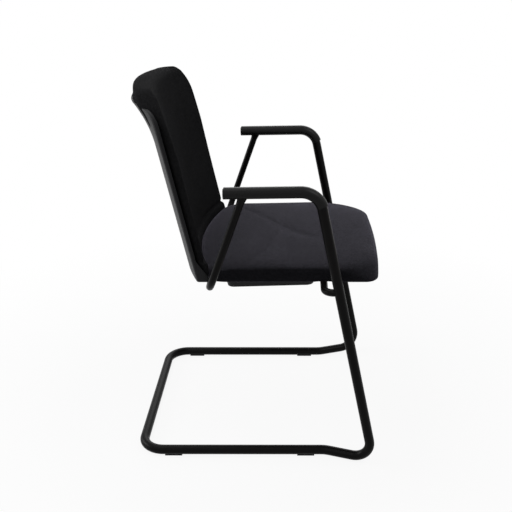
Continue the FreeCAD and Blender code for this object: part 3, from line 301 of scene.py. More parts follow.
def pad_out(piece, most):
    """Swells a cover along its normals as a filling does: cloth under inner pressure, without gravity."""
    held = np.empty(len(piece.data.vertices), np.float32)
    piece.data.attributes["held"].data.foreach_get("value", held)
    held = held > 0.5
    group = piece.vertex_groups.new(name="held")
    group.add(np.flatnonzero(held).tolist(), 1.0, "REPLACE")
    modifier = piece.modifiers.new("padding", "CLOTH")
    settings = modifier.settings
    settings.quality = PADDING_QUALITY
    settings.mass = PADDING_MASS
    settings.tension_stiffness = PADDING_STRETCH
    settings.compression_stiffness = PADDING_STRETCH
    settings.shear_stiffness = PADDING_SHEAR
    settings.bending_stiffness = PADDING_BEND
    settings.use_pressure = True
    settings.uniform_pressure_force = PADDING_PRESSURE
    settings.effector_weights.gravity = 0.0
    settings.vertex_group_mass = group.name
    modifier.collision_settings.use_collision = False
    modifier.point_cache.frame_start = 1
    modifier.point_cache.frame_end = PADDING_FRAMES
    scene = bpy.context.scene
    for step in range(1, PADDING_FRAMES + 1):
        scene.frame_set(step)
    swollen = piece.evaluated_get(bpy.context.evaluated_depsgraph_get())
    before = points_of(piece.data)
    normals = np.empty(before.size, np.float32)
    piece.data.vertex_normals.foreach_get("vector", normals)
    normals = normals.reshape(-1, 3)
    edges = np.empty(2 * len(piece.data.edges), np.int32)
    piece.data.edges.foreach_get("vertices", edges)
    edges = edges.reshape(-1, 2)
    outward = ((points_of(swollen.data) - before) * normals).sum(axis=1)
    outward = evened(outward, edges, held)
    piece.modifiers.remove(modifier)
    piece.vertex_groups.remove(group)
    swell = most * np.tanh(outward / most)[:, None] * normals
    swell = np.stack([evened(part, edges, held) for part in swell.T], axis=1)
    set_points(piece.data, before + swell)
    scene.frame_set(1)


def turned_profile(profile, foot, axis, sides=32):
    """A turned form: each radius and height of the profile carried round an axis through the foot."""
    axis = np.asarray(axis, float) / np.linalg.norm(axis)
    aside = np.cross(axis, [1.0, 0.0, 0.0])
    aside /= np.linalg.norm(aside)
    binormal = np.cross(axis, aside)
    angles = np.linspace(0.0, 2.0 * math.pi, sides, endpoint=False)[:, None]
    around = aside * np.cos(angles) + binormal * np.sin(angles)
    radii, heights = np.asarray(profile, float).T
    return np.asarray(foot, float) + heights[:, None, None] * axis + radii[:, None, None] * around[None]


# Materials

def linear(digits):
    """The linear colour of six sRGB hex digits."""
    shares = [int(digits[place:place + 2], 16) / 255.0 for place in (0, 2, 4)]
    values = [s / 12.92 if s <= 0.04045 else ((s + 0.055) / 1.055) ** 2.4 for s in shares]
    return (*values, 1.0)


def add_node(tree, kind, settings=None, links=None):
    """A node with its settings and links: each names an input or its number, or else a property."""
    node = tree.nodes.new(kind)
    for key, value in (settings or {}).items():
        if isinstance(key, int) or key in node.inputs:
            node.inputs[key].default_value = value
        else:
            setattr(node, key, value)
    for key, socket in (links or {}).items():
        tree.links.new(socket, node.inputs[key])
    return node


def new_material(name):
    """An empty material with its shader and output."""
    material = bpy.data.materials.new(name)
    material.use_nodes = True
    tree = material.node_tree
    tree.nodes.clear()
    shader = add_node(tree, "ShaderNodeBsdfPrincipled")
    add_node(tree, "ShaderNodeOutputMaterial", links={"Surface": shader.outputs["BSDF"]})
    return material, tree, shader


def shade(digits, factor):
    """A lighter or darker version of a hex colour, by a factor on its linear values."""
    red, green, blue, alpha = linear(digits)
    return (red * factor, green * factor, blue * factor, alpha)


def mottled(tree, shader, digits, spread, scale, coordinates, detail=3.0):
    """Varies the base colour between a darker and a lighter shade over patches of a real size."""
    noise = add_node(tree, "ShaderNodeTexNoise", {"Scale": scale, "Detail": detail}, {"Vector": coordinates})
    ramp = add_node(tree, "ShaderNodeValToRGB", links={"Fac": noise.outputs["Fac"]})
    ramp.color_ramp.elements[0].position = 0.35
    ramp.color_ramp.elements[0].color = shade(digits, 1.0 - spread)
    ramp.color_ramp.elements[1].position = 0.65
    ramp.color_ramp.elements[1].color = shade(digits, 1.0 + spread)
    tree.links.new(ramp.outputs["Color"], shader.inputs["Base Color"])
    return ramp


def per_size(size):
    """The noise scale whose features have a size in metres."""
    return 1.0 / size


def grained(tree, shader, coordinates, size, height, base, spread):
    """A fine moulded or sprayed grain: bump of a real size and depth, and roughness that varies with it."""
    grain = add_node(tree, "ShaderNodeTexNoise", {"Scale": per_size(size), "Detail": 2.0},
                     {"Vector": coordinates})
    bump = add_node(tree, "ShaderNodeBump", {"Strength": 1.0, "Distance": height},
                    {"Height": grain.outputs["Fac"]})
    tree.links.new(bump.outputs["Normal"], shader.inputs["Normal"])
    patch = add_node(tree, "ShaderNodeTexNoise", {"Scale": per_size(0.06), "Detail": 4.0},
                     {"Vector": coordinates})
    rough = add_node(tree, "ShaderNodeMapRange", {"To Min": base - spread, "To Max": base + spread},
                     {"Value": patch.outputs["Fac"]})
    tree.links.new(rough.outputs["Result"], shader.inputs["Roughness"])


def powder_coat(digits):
    """Semi-gloss polyester powder coat, sprayed and baked: black, with a soft orange peel in its shine."""
    material, tree, shader = new_material("powder_coat")
    place = add_node(tree, "ShaderNodeTexCoord").outputs["Object"]
    mottled(tree, shader, digits, spread=0.2, scale=per_size(0.04), coordinates=place)
    grained(tree, shader, place, size=0.0016, height=0.00006, base=0.34, spread=0.05)
    shader.inputs["Specular IOR Level"].default_value = 0.06
    return material


def moulded_plastic(name, digits, roughness, grain, depth, specular):
    """Injection-moulded plastic from a textured tool: a fine even grain over a soft sheen."""
    material, tree, shader = new_material(name)
    place = add_node(tree, "ShaderNodeTexCoord").outputs["Object"]
    mottled(tree, shader, digits, spread=0.12, scale=per_size(0.05), coordinates=place)
    grained(tree, shader, place, size=grain, height=depth, base=roughness, spread=0.04)
    shader.inputs["Specular IOR Level"].default_value = specular
    return material


def woven_cloth(name, digits, thread, specular, sheen, tint):
    """Crepe-woven wool-blend cover: matt threads with a pale bloom at grazing angles.
    The weave is drawn at twice its real spacing and its flecks coarser still, being too fine to show."""
    material, tree, shader = new_material(name)
    chart = add_node(tree, "ShaderNodeUVMap", {"uv_map": "Chart"}).outputs["UV"]
    place = add_node(tree, "ShaderNodeTexCoord").outputs["Object"]
    split = add_node(tree, "ShaderNodeSeparateXYZ", links={0: chart})
    waves = []
    for axis in ("X", "Y"):
        turns = add_node(tree, "ShaderNodeMath", {"operation": "MULTIPLY", 1: math.pi / thread},
                         {0: split.outputs[axis]})
        wave = add_node(tree, "ShaderNodeMath", {"operation": "SINE"}, {0: turns.outputs[0]})
        waves.append(wave.outputs[0])
    product = add_node(tree, "ShaderNodeMath", {"operation": "MULTIPLY"}, {0: waves[0], 1: waves[1]})
    fuzz = add_node(tree, "ShaderNodeTexNoise", {"Scale": per_size(thread * 0.8), "Detail": 4.0},
                    {"Vector": place})
    height = add_node(tree, "ShaderNodeMath", {"operation": "MULTIPLY_ADD", 1: 0.45},
                      {0: product.outputs[0], 2: fuzz.outputs["Fac"]})
    bump = add_node(tree, "ShaderNodeBump", {"Strength": 0.8, "Distance": 0.0004},
                    {"Height": height.outputs[0]})
    tree.links.new(bump.outputs["Normal"], shader.inputs["Normal"])
    ramp = mottled(tree, shader, digits, spread=0.10, scale=per_size(0.09), coordinates=place)
    melange = add_node(tree, "ShaderNodeTexNoise",
                       {"Scale": per_size(thread * 3.2), "Detail": 5.0, "Roughness": 0.75}, {"Vector": place})
    speck = add_node(tree, "ShaderNodeMapRange",
                     {"From Min": 0.3, "From Max": 0.7, "To Min": 0.6, "To Max": 1.45},
                     {"Value": melange.outputs["Fac"]})
    mixed = add_node(tree, "ShaderNodeVectorMath", {"operation": "SCALE"},
                     {0: ramp.outputs["Color"], "Scale": speck.outputs["Result"]})
    tree.links.new(mixed.outputs["Vector"], shader.inputs["Base Color"])
    if sheen:
        bloom = add_node(tree, "ShaderNodeMath", {"operation": "MULTIPLY", 1: sheen},
                         {0: speck.outputs["Result"]})
        tree.links.new(bloom.outputs[0], shader.inputs["Sheen Weight"])
    shader.inputs["Roughness"].default_value = 0.85
    shader.inputs["Specular IOR Level"].default_value = specular
    shader.inputs["Sheen Roughness"].default_value = 0.45
    shader.inputs["Sheen Tint"].default_value = linear(tint)
    return material


def beech_plywood(digits):
    """Rotary-cut beech plywood, sanded and unfinished: a warm matt face with a long faint grain."""
    material, tree, shader = new_material("beech_plywood")
    place = add_node(tree, "ShaderNodeTexCoord").outputs["Object"]
    stretched = add_node(tree, "ShaderNodeMapping", {"Scale": (1.0, 0.06, 0.3)}, {"Vector": place})
    mottled(tree, shader, digits, spread=0.28, scale=per_size(0.004), coordinates=stretched.outputs["Vector"],
            detail=6.0)
    grained(tree, shader, place, size=0.0008, height=0.00005, base=0.6, spread=0.06)
    return material


def zinc_plate(digits):
    """Electroplated zinc on steel: a soft metallic grey with faint cloudy patches."""
    material, tree, shader = new_material("zinc_plate")
    place = add_node(tree, "ShaderNodeTexCoord").outputs["Object"]
    mottled(tree, shader, digits, spread=0.12, scale=per_size(0.003), coordinates=place)
    grained(tree, shader, place, size=0.0006, height=0.00002, base=0.38, spread=0.08)
    shader.inputs["Metallic"].default_value = 1.0
    return material


THREAD = 1.4 * MILLIMETRE


class Finishes:
    """The chair's materials, made once."""

    made = {}

    @classmethod
    def get(cls, name):
        """A finish by its plain name."""
        digits = getattr(bpy.context.scene.chair_colours, name)
        makers = {
            "paint": lambda: powder_coat(digits),
            "pad": lambda: moulded_plastic("moulded_nylon", digits, roughness=0.38, grain=0.0012,
                                           depth=0.00003, specular=0.12),
            "shell": lambda: moulded_plastic("grained_polypropylene", digits, roughness=0.5, grain=0.0011,
                                             depth=0.00008, specular=0.15),
            "seat_cloth": lambda: woven_cloth("woven_wool_seat", digits, THREAD, specular=0.03, sheen=0.46,
                                              tint="b4b0c2"),
            "back_cloth": lambda: woven_cloth("woven_wool_back", digits, THREAD, specular=0.006, sheen=0.0,
                                              tint="b4b2bc"),
            "plywood": lambda: beech_plywood(digits),
            "zinc": lambda: zinc_plate(digits),
        }
        if name not in cls.made:
            cls.made[name] = makers[name]()
        return cls.made[name]


# Seat

SEAT_SIDE_POWER = 9.0
SEAT_FRONT_POWER = 3.8
SEAT_REAR_POWER = 4.0


def rounded_plan(half, depth, corners, counts):
    """Rounded rectangles, one for each row: x from -half to half and w from nought at the front to depth.
    They run up the right side, over the rear, down the left side and back along the front.
    Straight sides are even steps, and corners are quarter circles."""
    front_corner, rear_corner = corners
    side_count, front_count, rear_count, corner_count = counts
    steps = np.linspace(0.0, 1.0, side_count, endpoint=False)
    across = 1.0 - 2.0 * np.linspace(0.0, 1.0, rear_count, endpoint=False)
    along = 1.0 - 2.0 * np.linspace(0.0, 1.0, front_count, endpoint=False)
    quarter = np.linspace(0.0, math.pi / 2.0, corner_count, endpoint=False)
    cosine, sine = np.cos(quarter), np.sin(quarter)
    front_half = half - front_corner
    rear_half = half - rear_corner
    rear_start = depth - rear_corner
    straight = rear_start - front_corner
    stretches = [
        (half * np.ones(side_count), front_corner + straight * steps),
        (rear_half + rear_corner * cosine, rear_start + rear_corner * sine),
        (rear_half * across, depth * np.ones(rear_count)),
        (-rear_half - rear_corner * sine, rear_start + rear_corner * cosine),
        (-half * np.ones(side_count), rear_start - straight * steps),
        (-front_half - front_corner * cosine, front_corner - front_corner * sine),
        (-front_half * along, np.zeros((len(half), front_count))),
        (front_half + front_corner * sine, front_corner - front_corner * cosine),
    ]
    return tuple(np.hstack(values) for values in zip(*stretches))


# Points along a side, the front, the rear and round a corner
SEAT_COUNTS = (26, 30, 34, 12)
WIDEST_CORNER = 0.48


def seat_rings(seat, side_inset, front_inset, rear_inset, foot_share):
    """Plan outlines of the seat, one for each row of insets, with bows that flatten as the outline narrows.
    The corners widen from the foot, where the share is one, to the top, where it is nought."""
    half = SEAT_HIGH.x - side_inset[:, None]
    flatter = (half / SEAT_HIGH.x) ** 2
    front = SEAT_LOW.y - seat.front_proud + front_inset[:, None]
    rear = SEAT_HIGH.y + seat.rear_proud - rear_inset[:, None]
    front_bow = seat.front_bow * flatter
    rear_bow = seat.rear_bow * flatter
    depth = (rear - rear_bow) - (front + front_bow)
    most = WIDEST_CORNER * np.minimum(2.0 * half, depth)
    low = foot_share[:, None]
    front_corner = np.minimum(seat.front_corner + (seat.front_foot - seat.front_corner) * low, most)
    rear_corner = np.minimum(seat.rear_corner + (seat.rear_foot - seat.rear_corner) * low, most)
    xs, ws = rounded_plan(half, depth, (front_corner, rear_corner), SEAT_COUNTS)
    share = ws / depth
    squared = (xs / half) ** 2
    front_line = front + front_bow * squared
    rear_line = rear - rear_bow * squared
    return xs, front_line + share * (rear_line - front_line)


def crown_inset(share, reach, power):
    """How far a crown has drawn in at a share of its height.
    That is the reach times one less the root of one less the share to the power."""
    return reach * (1.0 - np.sqrt(np.maximum(1.0 - share ** power, 0.0)))


CREASE_START = np.array([0.182, 0.054])
CREASE_END = np.array([-0.070, -0.150])
CREASE_BEND = 0.017
CREASE_BEND_POWER = 2.2
CREASE_WIDTHS = (0.008, 0.013)
CREASE_SPREAD = 0.007


def seat_crease(seat, points):
    """The pressed crease: a soft valley along a line that bends aside by a sine of a power of its share."""
    reach = np.linalg.norm(CREASE_END - CREASE_START)
    heading = (CREASE_END - CREASE_START) / reach
    offset = points[..., :2] - CREASE_START
    along = offset @ heading / reach
    aside = offset @ np.array([-heading[1], heading[0]])
    inside = np.clip(along, 0.0, 1.0)
    away = aside + CREASE_BEND * np.sin(math.pi * inside ** CREASE_BEND_POWER)
    width = np.where(away > 0.0, *CREASE_WIDTHS) + CREASE_SPREAD * inside
    fade = smooth_step(-0.1, 0.12, along) * (1.0 - smooth_step(0.75, 1.15, along))
    on_top = smooth_step(SEAT_HIGH.z - 0.012, SEAT_HIGH.z - 0.006, points[..., 2])
    return seat.crease * np.exp(-(away / width) ** 2) * fade * on_top


CROSS_TUBE_RADIUS = 0.008
NOTCH_REACH = 2.2 * CROSS_TUBE_RADIUS


def tube_notch(points):
    """One over the tubes under the cushion's rim and nought away from them: a bell of the fourth power."""
    notch = 0.0
    for node in ("front_cross_tube", "rear_support_tube"):
        low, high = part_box(node)
        middle = high.y - CROSS_TUBE_RADIUS
        notch = notch + np.exp(-((points[..., 1] - middle) / NOTCH_REACH) ** 4)
    return np.minimum(notch, 1.0)


POCKET_RINGS = 7
WALL_RINGS = 5
RIM_RINGS = 5
WAIST_RINGS = 7
CROWN_RINGS = 27
TOP_RINGS = 24
POLE_SHARE = 0.96
INNER_RIM_SHARE = 0.6
CORNER_GROWTH = 1.2


def seat_surface(seat):
    """The cushion as rings: the board's pocket, the hanging rim, the waist, the crown and the domed top.
    Each ring is an outline with its insets, at its share of the crown's height, tilted by the rise."""
    foot = SEAT_LOW.z
    crown = (SEAT_HIGH.z - SEAT_LOW.z) + seat.top_proud - seat.rise / 2.0
    middle = (SEAT_LOW.y + SEAT_HIGH.y) / 2.0
    slope = seat.rise / (SEAT_HIGH.y - SEAT_LOW.y)
    pocket = SEAT_HIGH.x - BOARD_HIGH.x - CLEARANCE
    ceiling = (BOARD_HIGH.z - SEAT_LOW.z + CLEARANCE) / crown
    widest = seat.waist / crown
    lowest = -seat.skirt / crown

    under = np.linspace(1.0, 0.0, POCKET_RINGS)
    pocket_insets = pocket + under * (SEAT_HIGH.x * POLE_SHARE - pocket)
    wall = np.linspace(ceiling, lowest, WALL_RINGS)[1:]
    turn = np.linspace(-math.pi / 2.0, 0.0, RIM_RINGS)
    rounded = seat.foot_round / crown * (1.0 + np.sin(turn))
    lower = lowest + np.hstack([rounded, np.linspace(rounded[-1], widest - lowest, WAIST_RINGS)[1:]])
    climbed = (lower - lowest) / (widest - lowest)
    draw = seat.draw_in * (1.0 - climbed) ** 2
    draw[:RIM_RINGS] += seat.foot_round * (1.0 - np.cos(turn))
    inner_rim = np.array([pocket * INNER_RIM_SHARE])
    climb = np.sin(math.pi / 2.0 * np.linspace(0.0, 1.0, CROWN_RINGS))[1:]
    spread = np.linspace(1.0, 0.0, TOP_RINGS)[1:]

    def insets(reach, power):
        crown_insets = crown_inset(climb, reach, power)
        return np.hstack([pocket_insets, np.full(len(wall), pocket), inner_rim, draw, crown_insets])

    upper = widest + (1.0 - widest) * climb
    share = np.hstack([np.full(POCKET_RINGS, ceiling), wall, [lowest], lower, upper])
    foot_share = 1.0 - np.clip((share - lowest) / (1.0 - lowest), 0.0, 1.0) ** CORNER_GROWTH
    hidden = POCKET_RINGS + WALL_RINGS
    foot_share[:hidden] = 1.0
    xs, ys = seat_rings(seat, insets(seat.side_crown, SEAT_SIDE_POWER),
                        insets(seat.front_crown, SEAT_FRONT_POWER),
                        insets(seat.rear_crown, SEAT_REAR_POWER), foot_share)
    share = share[:, None]

    centre_y = ys[-1].mean()
    top_x = spread[:, None] * xs[-1]
    top_y = centre_y + spread[:, None] * (ys[-1] - centre_y)
    pole_y = ys[0].mean()
    xs = np.vstack([np.zeros_like(xs[:1]), xs, top_x])
    ys = np.vstack([np.full_like(ys[:1], pole_y), ys, top_y])
    share = np.vstack([share[:1], share, np.ones((len(spread), 1))])
    above = np.maximum(share, 0.0)
    zs = foot + share * crown - above * slope * (ys - middle)
    bulge = np.cos(math.pi / 2.0 * xs / SEAT_HIGH.x)
    bulge = bulge * np.cos(math.pi / 2.0 * (ys - middle) / (SEAT_HIGH.y - middle))
    zs = zs + seat.dome * np.maximum(bulge, 0.0) ** 2 * above ** 4
    points = np.stack([xs, ys, zs], axis=-1)
    points[..., 2] -= seat_crease(seat, points)
    below = np.minimum(zs - foot, 0.0)
    points[..., 2] -= below * tube_notch(points)
    held = np.zeros(xs.shape)
    held[:1 + hidden + RIM_RINGS] = 1.0
    return points, held


def polar_chart(points):
    """A flat chart of a ringed surface: each point lies out from the middle by its way along the surface."""
    steps = np.linalg.norm(np.diff(points[::-1], axis=0), axis=-1)
    reach = np.vstack([np.zeros((1, points.shape[1])), np.cumsum(steps, axis=0)])[::-1]
    outline = points[len(points) // 3, :, :2] - points[-1, :, :2].mean(axis=0)
    heading = outline / np.linalg.norm(outline, axis=-1, keepdims=True)
    return reach[..., None] * heading[None]


class CHAIR_OT_seat(bpy.types.Operator):
    """Upholsters the seat: a padded, crowned cushion over its board."""

    bl_idname = "chair.seat"
    bl_label = "Seat cushion"

    def execute(self, context):
        seat = context.scene.chair_seat
        points, held = seat_surface(seat)
        chart = polar_chart(points)
        piece = grid_object("seat_cushion_cover", points, wrap_columns=True, chart=chart, held=held)
        close_up(piece)
        pad_out(piece, seat.swell)
        add_modifier(piece, "finer", "SUBSURF", levels=1, render_levels=1)
        dress(piece, Finishes.get("seat_cloth"), "seat_cloth", "seat_cushion")
        refinish(Finishes.get("plywood"), "seat_board")
        return {"FINISHED"}


# Back

def side_edge(back, height):
    """How far back the shell's rear side edge is: a straight line that leans."""
    foot = SHELL_LOW.y + back.foot_flange
    return foot + (height - SHELL_LOW.z) * math.tan(back.lean)


def lip_top(back):
    """The height of the lip's top edge."""
    return SHELL_HIGH.z - back.lip_drop


def shell_bow(back, height):
    """How far the shell's rear bulges: its bow, and the flare times the square of the rise into the lip."""
    rise = np.clip((height - (lip_top(back) - back.lip_height)) / back.lip_height, 0.0, 1.0)
    return back.bow + back.lip_flare * rise ** 2


def shell_rear(back, across, height):
    """The shell's rear face: the side edge and the bow, less the arch's drop."""
    bow = shell_bow(back, height)
    return side_edge(back, height) + bow - arch_drop(SHELL_HIGH.x, bow, across)


CREST_FALL = (0.70, 0.84)


def cushion_face(back, across, height):
    """The cushion's plain face: the side edge less the crest, dished by an arch that flattens at the top."""
    swell = back.crest_swell * (1.0 - smooth_step(*CREST_FALL, height))
    drop = arch_drop(BACK_HIGH.x, back.dish + swell, across)
    return side_edge(back, height) - back.crest + back.dish - drop


def flange_depth(back, height):
    """The depth of the shell's flanges, which widen in a line towards the foot and a little more near it."""
    climb = np.clip((height - SHELL_LOW.z) / back.foot_height, 0.0, 1.0)
    widened = back.flange + (back.foot_flange - back.flange) * (1.0 - climb)
    return widened + back.foot_reach * (1.0 - climb) ** 1.5


def half_width_at(half, corner, top, height):
    """The half width at a height of a form whose top corners are quarter circles."""
    climb = np.clip(height - (top - corner), 0.0, corner)
    return half - corner + np.sqrt(corner ** 2 - climb ** 2)


def board_half(back, height):
    """The half width of the inner board at a height: a rectangle with four rounded corners."""
    corner = back.board_corner
    climb = np.maximum(height - (PANEL_HIGH.z - corner), PANEL_LOW.z + corner - height)
    return PANEL_HIGH.x - corner + np.sqrt(corner ** 2 - np.clip(climb, 0.0, corner) ** 2)


# Points up a side, round a corner and over to the middle
SHELL_COUNTS = (64, 14, 22)


def shell_outline(back, inset):
    """The shell's outline seen from behind, a row for each inset: up one side, over and down the other."""
    half = (SHELL_HIGH.x - inset)[:, None]
    top = (lip_top(back) - inset)[:, None]
    foot = SHELL_LOW.z
    corner = np.minimum(np.maximum(back.shell_corner - inset, 0.25 * back.shell_corner)[:, None], half)
    side_count, corner_count, top_count = SHELL_COUNTS
    up = np.linspace(0.0, 1.0, side_count, endpoint=False)
    quarter = np.linspace(0.0, math.pi / 2.0, corner_count, endpoint=False)
    over = np.linspace(0.0, 1.0, top_count)
    xs = np.hstack([
        np.broadcast_to(half, (len(half), len(up))),
        half - corner + corner * np.cos(quarter),
        (half - corner) * (1.0 - over),
    ])
    zs = np.hstack([
        foot + (top - corner - foot) * up,
        top - corner + corner * np.sin(quarter),
        np.broadcast_to(top, (len(half), len(over))),
    ])
    return np.hstack([xs, -xs[:, -2::-1]]), np.hstack([zs, zs[:, -2::-1]])


FLANGE_ROWS = 5
ROUNDING_ROWS = 6
REAR_ROWS = 34
REAR_ROW_POWER = 1.15


def shell_surface(back):
    """The shell's outside as rows: the flanges from their free edge, the rounding and nested outlines."""
    radius = back.shell_round
    turn = np.linspace(0.0, math.pi / 2.0, ROUNDING_ROWS)[1:]
    rounding = radius * (1.0 - np.cos(turn))
    face = radius + (SHELL_HIGH.x - radius) * np.linspace(0.0, 1.0, REAR_ROWS)[1:] ** REAR_ROW_POWER
    flange = np.linspace(1.0, 0.0, FLANGE_ROWS)
    inset = np.hstack([np.zeros(len(flange)), rounding, face])
    xs, zs = shell_outline(back, inset)
    forward = flange[:, None] * (flange_depth(back, zs[:len(flange)]) - radius) + radius
    sunk = radius * (1.0 - np.sin(turn))[:, None] * np.ones_like(zs[:1])
    drop = np.vstack([forward, sunk, np.zeros((len(face), zs.shape[1]))])
    edge_x, edge_z = xs[:1], zs[:1]
    rim = shell_rear(back, edge_x, edge_z) * np.ones_like(xs)
    plain = shell_rear(back, xs, zs)
    near_rim = (inset < radius * 0.999)[:, None]
    ys = np.where(near_rim, rim, plain) - drop
    blend = smooth_step(0.0, radius, inset)[:, None]
    ys = ys + np.where(near_rim, blend * (plain - rim), 0.0)
    return np.stack([xs, ys, zs], axis=-1)


STANDOFF_SPREAD = 0.150
STANDOFF_HEIGHTS = (0.520, 0.720)
POST_RADIUS = 0.006
PIN_RADIUS = 0.0028


def shell_standoffs(back):
    """The four standoffs behind the board: posts turned square to the shell's rear."""
    reach = back.wall * 0.5 + back.board_room
    profile = [(0.0, reach + back.board), (PIN_RADIUS * 0.8, reach + back.board),
               (PIN_RADIUS, reach + 0.005), (PIN_RADIUS, reach), (POST_RADIUS * 0.9, reach),
               (POST_RADIUS, reach - 0.0008), (POST_RADIUS, 0.0), (0.0, 0.0)]
    step = MILLIMETRE
    pieces = []
    for height in STANDOFF_HEIGHTS:
        for _, sign in SIDES:
            across = sign * STANDOFF_SPREAD
            rise_x = shell_rear(back, across + step, height) - shell_rear(back, across - step, height)
            rise_z = shell_rear(back, across, height + step) - shell_rear(back, across, height - step)
            outward = np.array([-rise_x / (2.0 * step), 1.0, -rise_z / (2.0 * step)])
            outward /= np.linalg.norm(outward)
            surface = np.array([across, float(shell_rear(back, across, height)), height])
            points = turned_profile(profile, surface - outward * back.wall * 0.6, -outward)
            pieces.append(close_up(grid_object("post", points, wrap_columns=True)))
    return joined("back_shell_standoffs", pieces)


class CHAIR_OT_back_shell(bpy.types.Operator):
    """Moulds the rear shell: bulged rear, rounded edges, side flanges and a flared lip."""

    bl_idname = "chair.back_shell"
    bl_label = "Rear shell"

    def execute(self, context):
        back = context.scene.chair_back
        piece = grid_object("back_shell_moulding", shell_surface(back)[:, ::-1])
        close_up(piece, closed=False)
        add_modifier(piece, "wall", "SOLIDIFY", thickness=back.wall, offset=-1.0, use_even_offset=True)
        add_modifier(piece, "soft_edges", "BEVEL", width=0.7 * MILLIMETRE, segments=2, limit_method="ANGLE",
                     angle_limit=math.radians(50.0))
        dress(piece, Finishes.get("shell"), "shell_moulding", "back_shell")
        posts = shell_standoffs(back)
        posts.data.set_sharp_from_angle(angle=math.radians(40.0))
        dress(posts, Finishes.get("shell"), "shell_moulding")
        return {"FINISHED"}


FOOT_ROLL_POWER = 8


def foot_swell(back, height):
    """How far the face stands proud near its foot: a full roll, then the sewn channel that fades out."""
    rise = height - BACK_LOW.z
    roll = back.roll_height
    swell = back.roll_swell + back.channel
    from_middle = np.abs(2.0 * np.clip(rise / roll, 0.0, 1.0) - 1.0)
    proud = swell * (1.0 - from_middle ** FOOT_ROLL_POWER) - back.channel
    sunk = -back.channel * (1.0 - smooth_step(0.0, 1.0, (rise - roll) / back.channel_fade))
    return np.where(rise <= roll, proud, sunk)


ROLL_GAP = 0.004
ROLL_STEPS = 15
ROLL_EASE = 0.75
ROLL_POWERS = (3.2, 2.6)
FACE_COLUMNS = 57
LAP_COLUMNS = 5
SIDE_COLUMNS = 12
CHEEK_RISE = (0.70, 0.78)


def cushion_levels(back):
    """The heights of the rows from the foot to the dome, close together at the seams and round the board."""
    foot = BACK_LOW.z
    join = lip_top(back) + ROLL_GAP
    seam = foot + back.roll_height
    board_edges = [PANEL_LOW.z - CLEARANCE, PANEL_HIGH.z + CLEARANCE, PANEL_HIGH.z + 3.0 * CLEARANCE]
    return np.unique(np.hstack([
        [foot + 1.5 * CLEARANCE, *board_edges],
        np.linspace(foot + 0.004, seam - 0.004, 11, endpoint=False),
        np.linspace(seam - 0.004, seam + back.channel_fade, 13, endpoint=False),
        np.linspace(seam + back.channel_fade, PANEL_HIGH.z - 0.003, 38),
        np.linspace(PANEL_HIGH.z + 0.006, join, 4),
    ]))


def cushion_rows(back):
    """Heights, and shares of face, board side and roll side, of the rows round the cushion's section.
    The rows go up the face, over the dome, down the roll, in under it, down the board and across the foot.
    Each height above the foot comes once in front and once behind, so that the two meet at the sides."""
    levels = cushion_levels(back)
    join = levels[-1]
    shoulder = join + back.roll_round
    top = BACK_HIGH.z + back.top_proud
    turn = np.linspace(0.0, math.pi / 2.0, ROLL_STEPS)
    climb = np.sin(turn) ** ROLL_EASE
    ahead = (1.0 - np.cos(turn)) / 2.0
    inner_power, outer_power = ROLL_POWERS
    behind = 0.5 + 0.5 * (1.0 - climb ** inner_power) ** (1.0 / outer_power)
    dome = shoulder + (top - shoulder) * np.hstack([climb, climb[-2::-1]])
    over = np.hstack([ahead, behind[-2::-1]])
    under = np.linspace(0.0, 1.0, 8)
    down = levels[-2::-1]
    sole = np.linspace(0.0, 1.0, 5)
    beneath = join + back.roll_round * (1.0 - np.sqrt(1.0 - (1.0 - under) ** 4))
    heights = np.hstack([levels, dome, beneath, down, np.full(len(sole), BACK_LOW.z)])
    to_face = np.hstack([np.ones(len(levels)), 1.0 - over, np.zeros(len(under) + len(down)), sole])
    to_roll = np.hstack([np.zeros(len(levels)), over, 1.0 - under, np.zeros(len(down) + len(sole))])
    to_board = 1.0 - to_face - to_roll
    return heights, to_face, to_board, to_roll


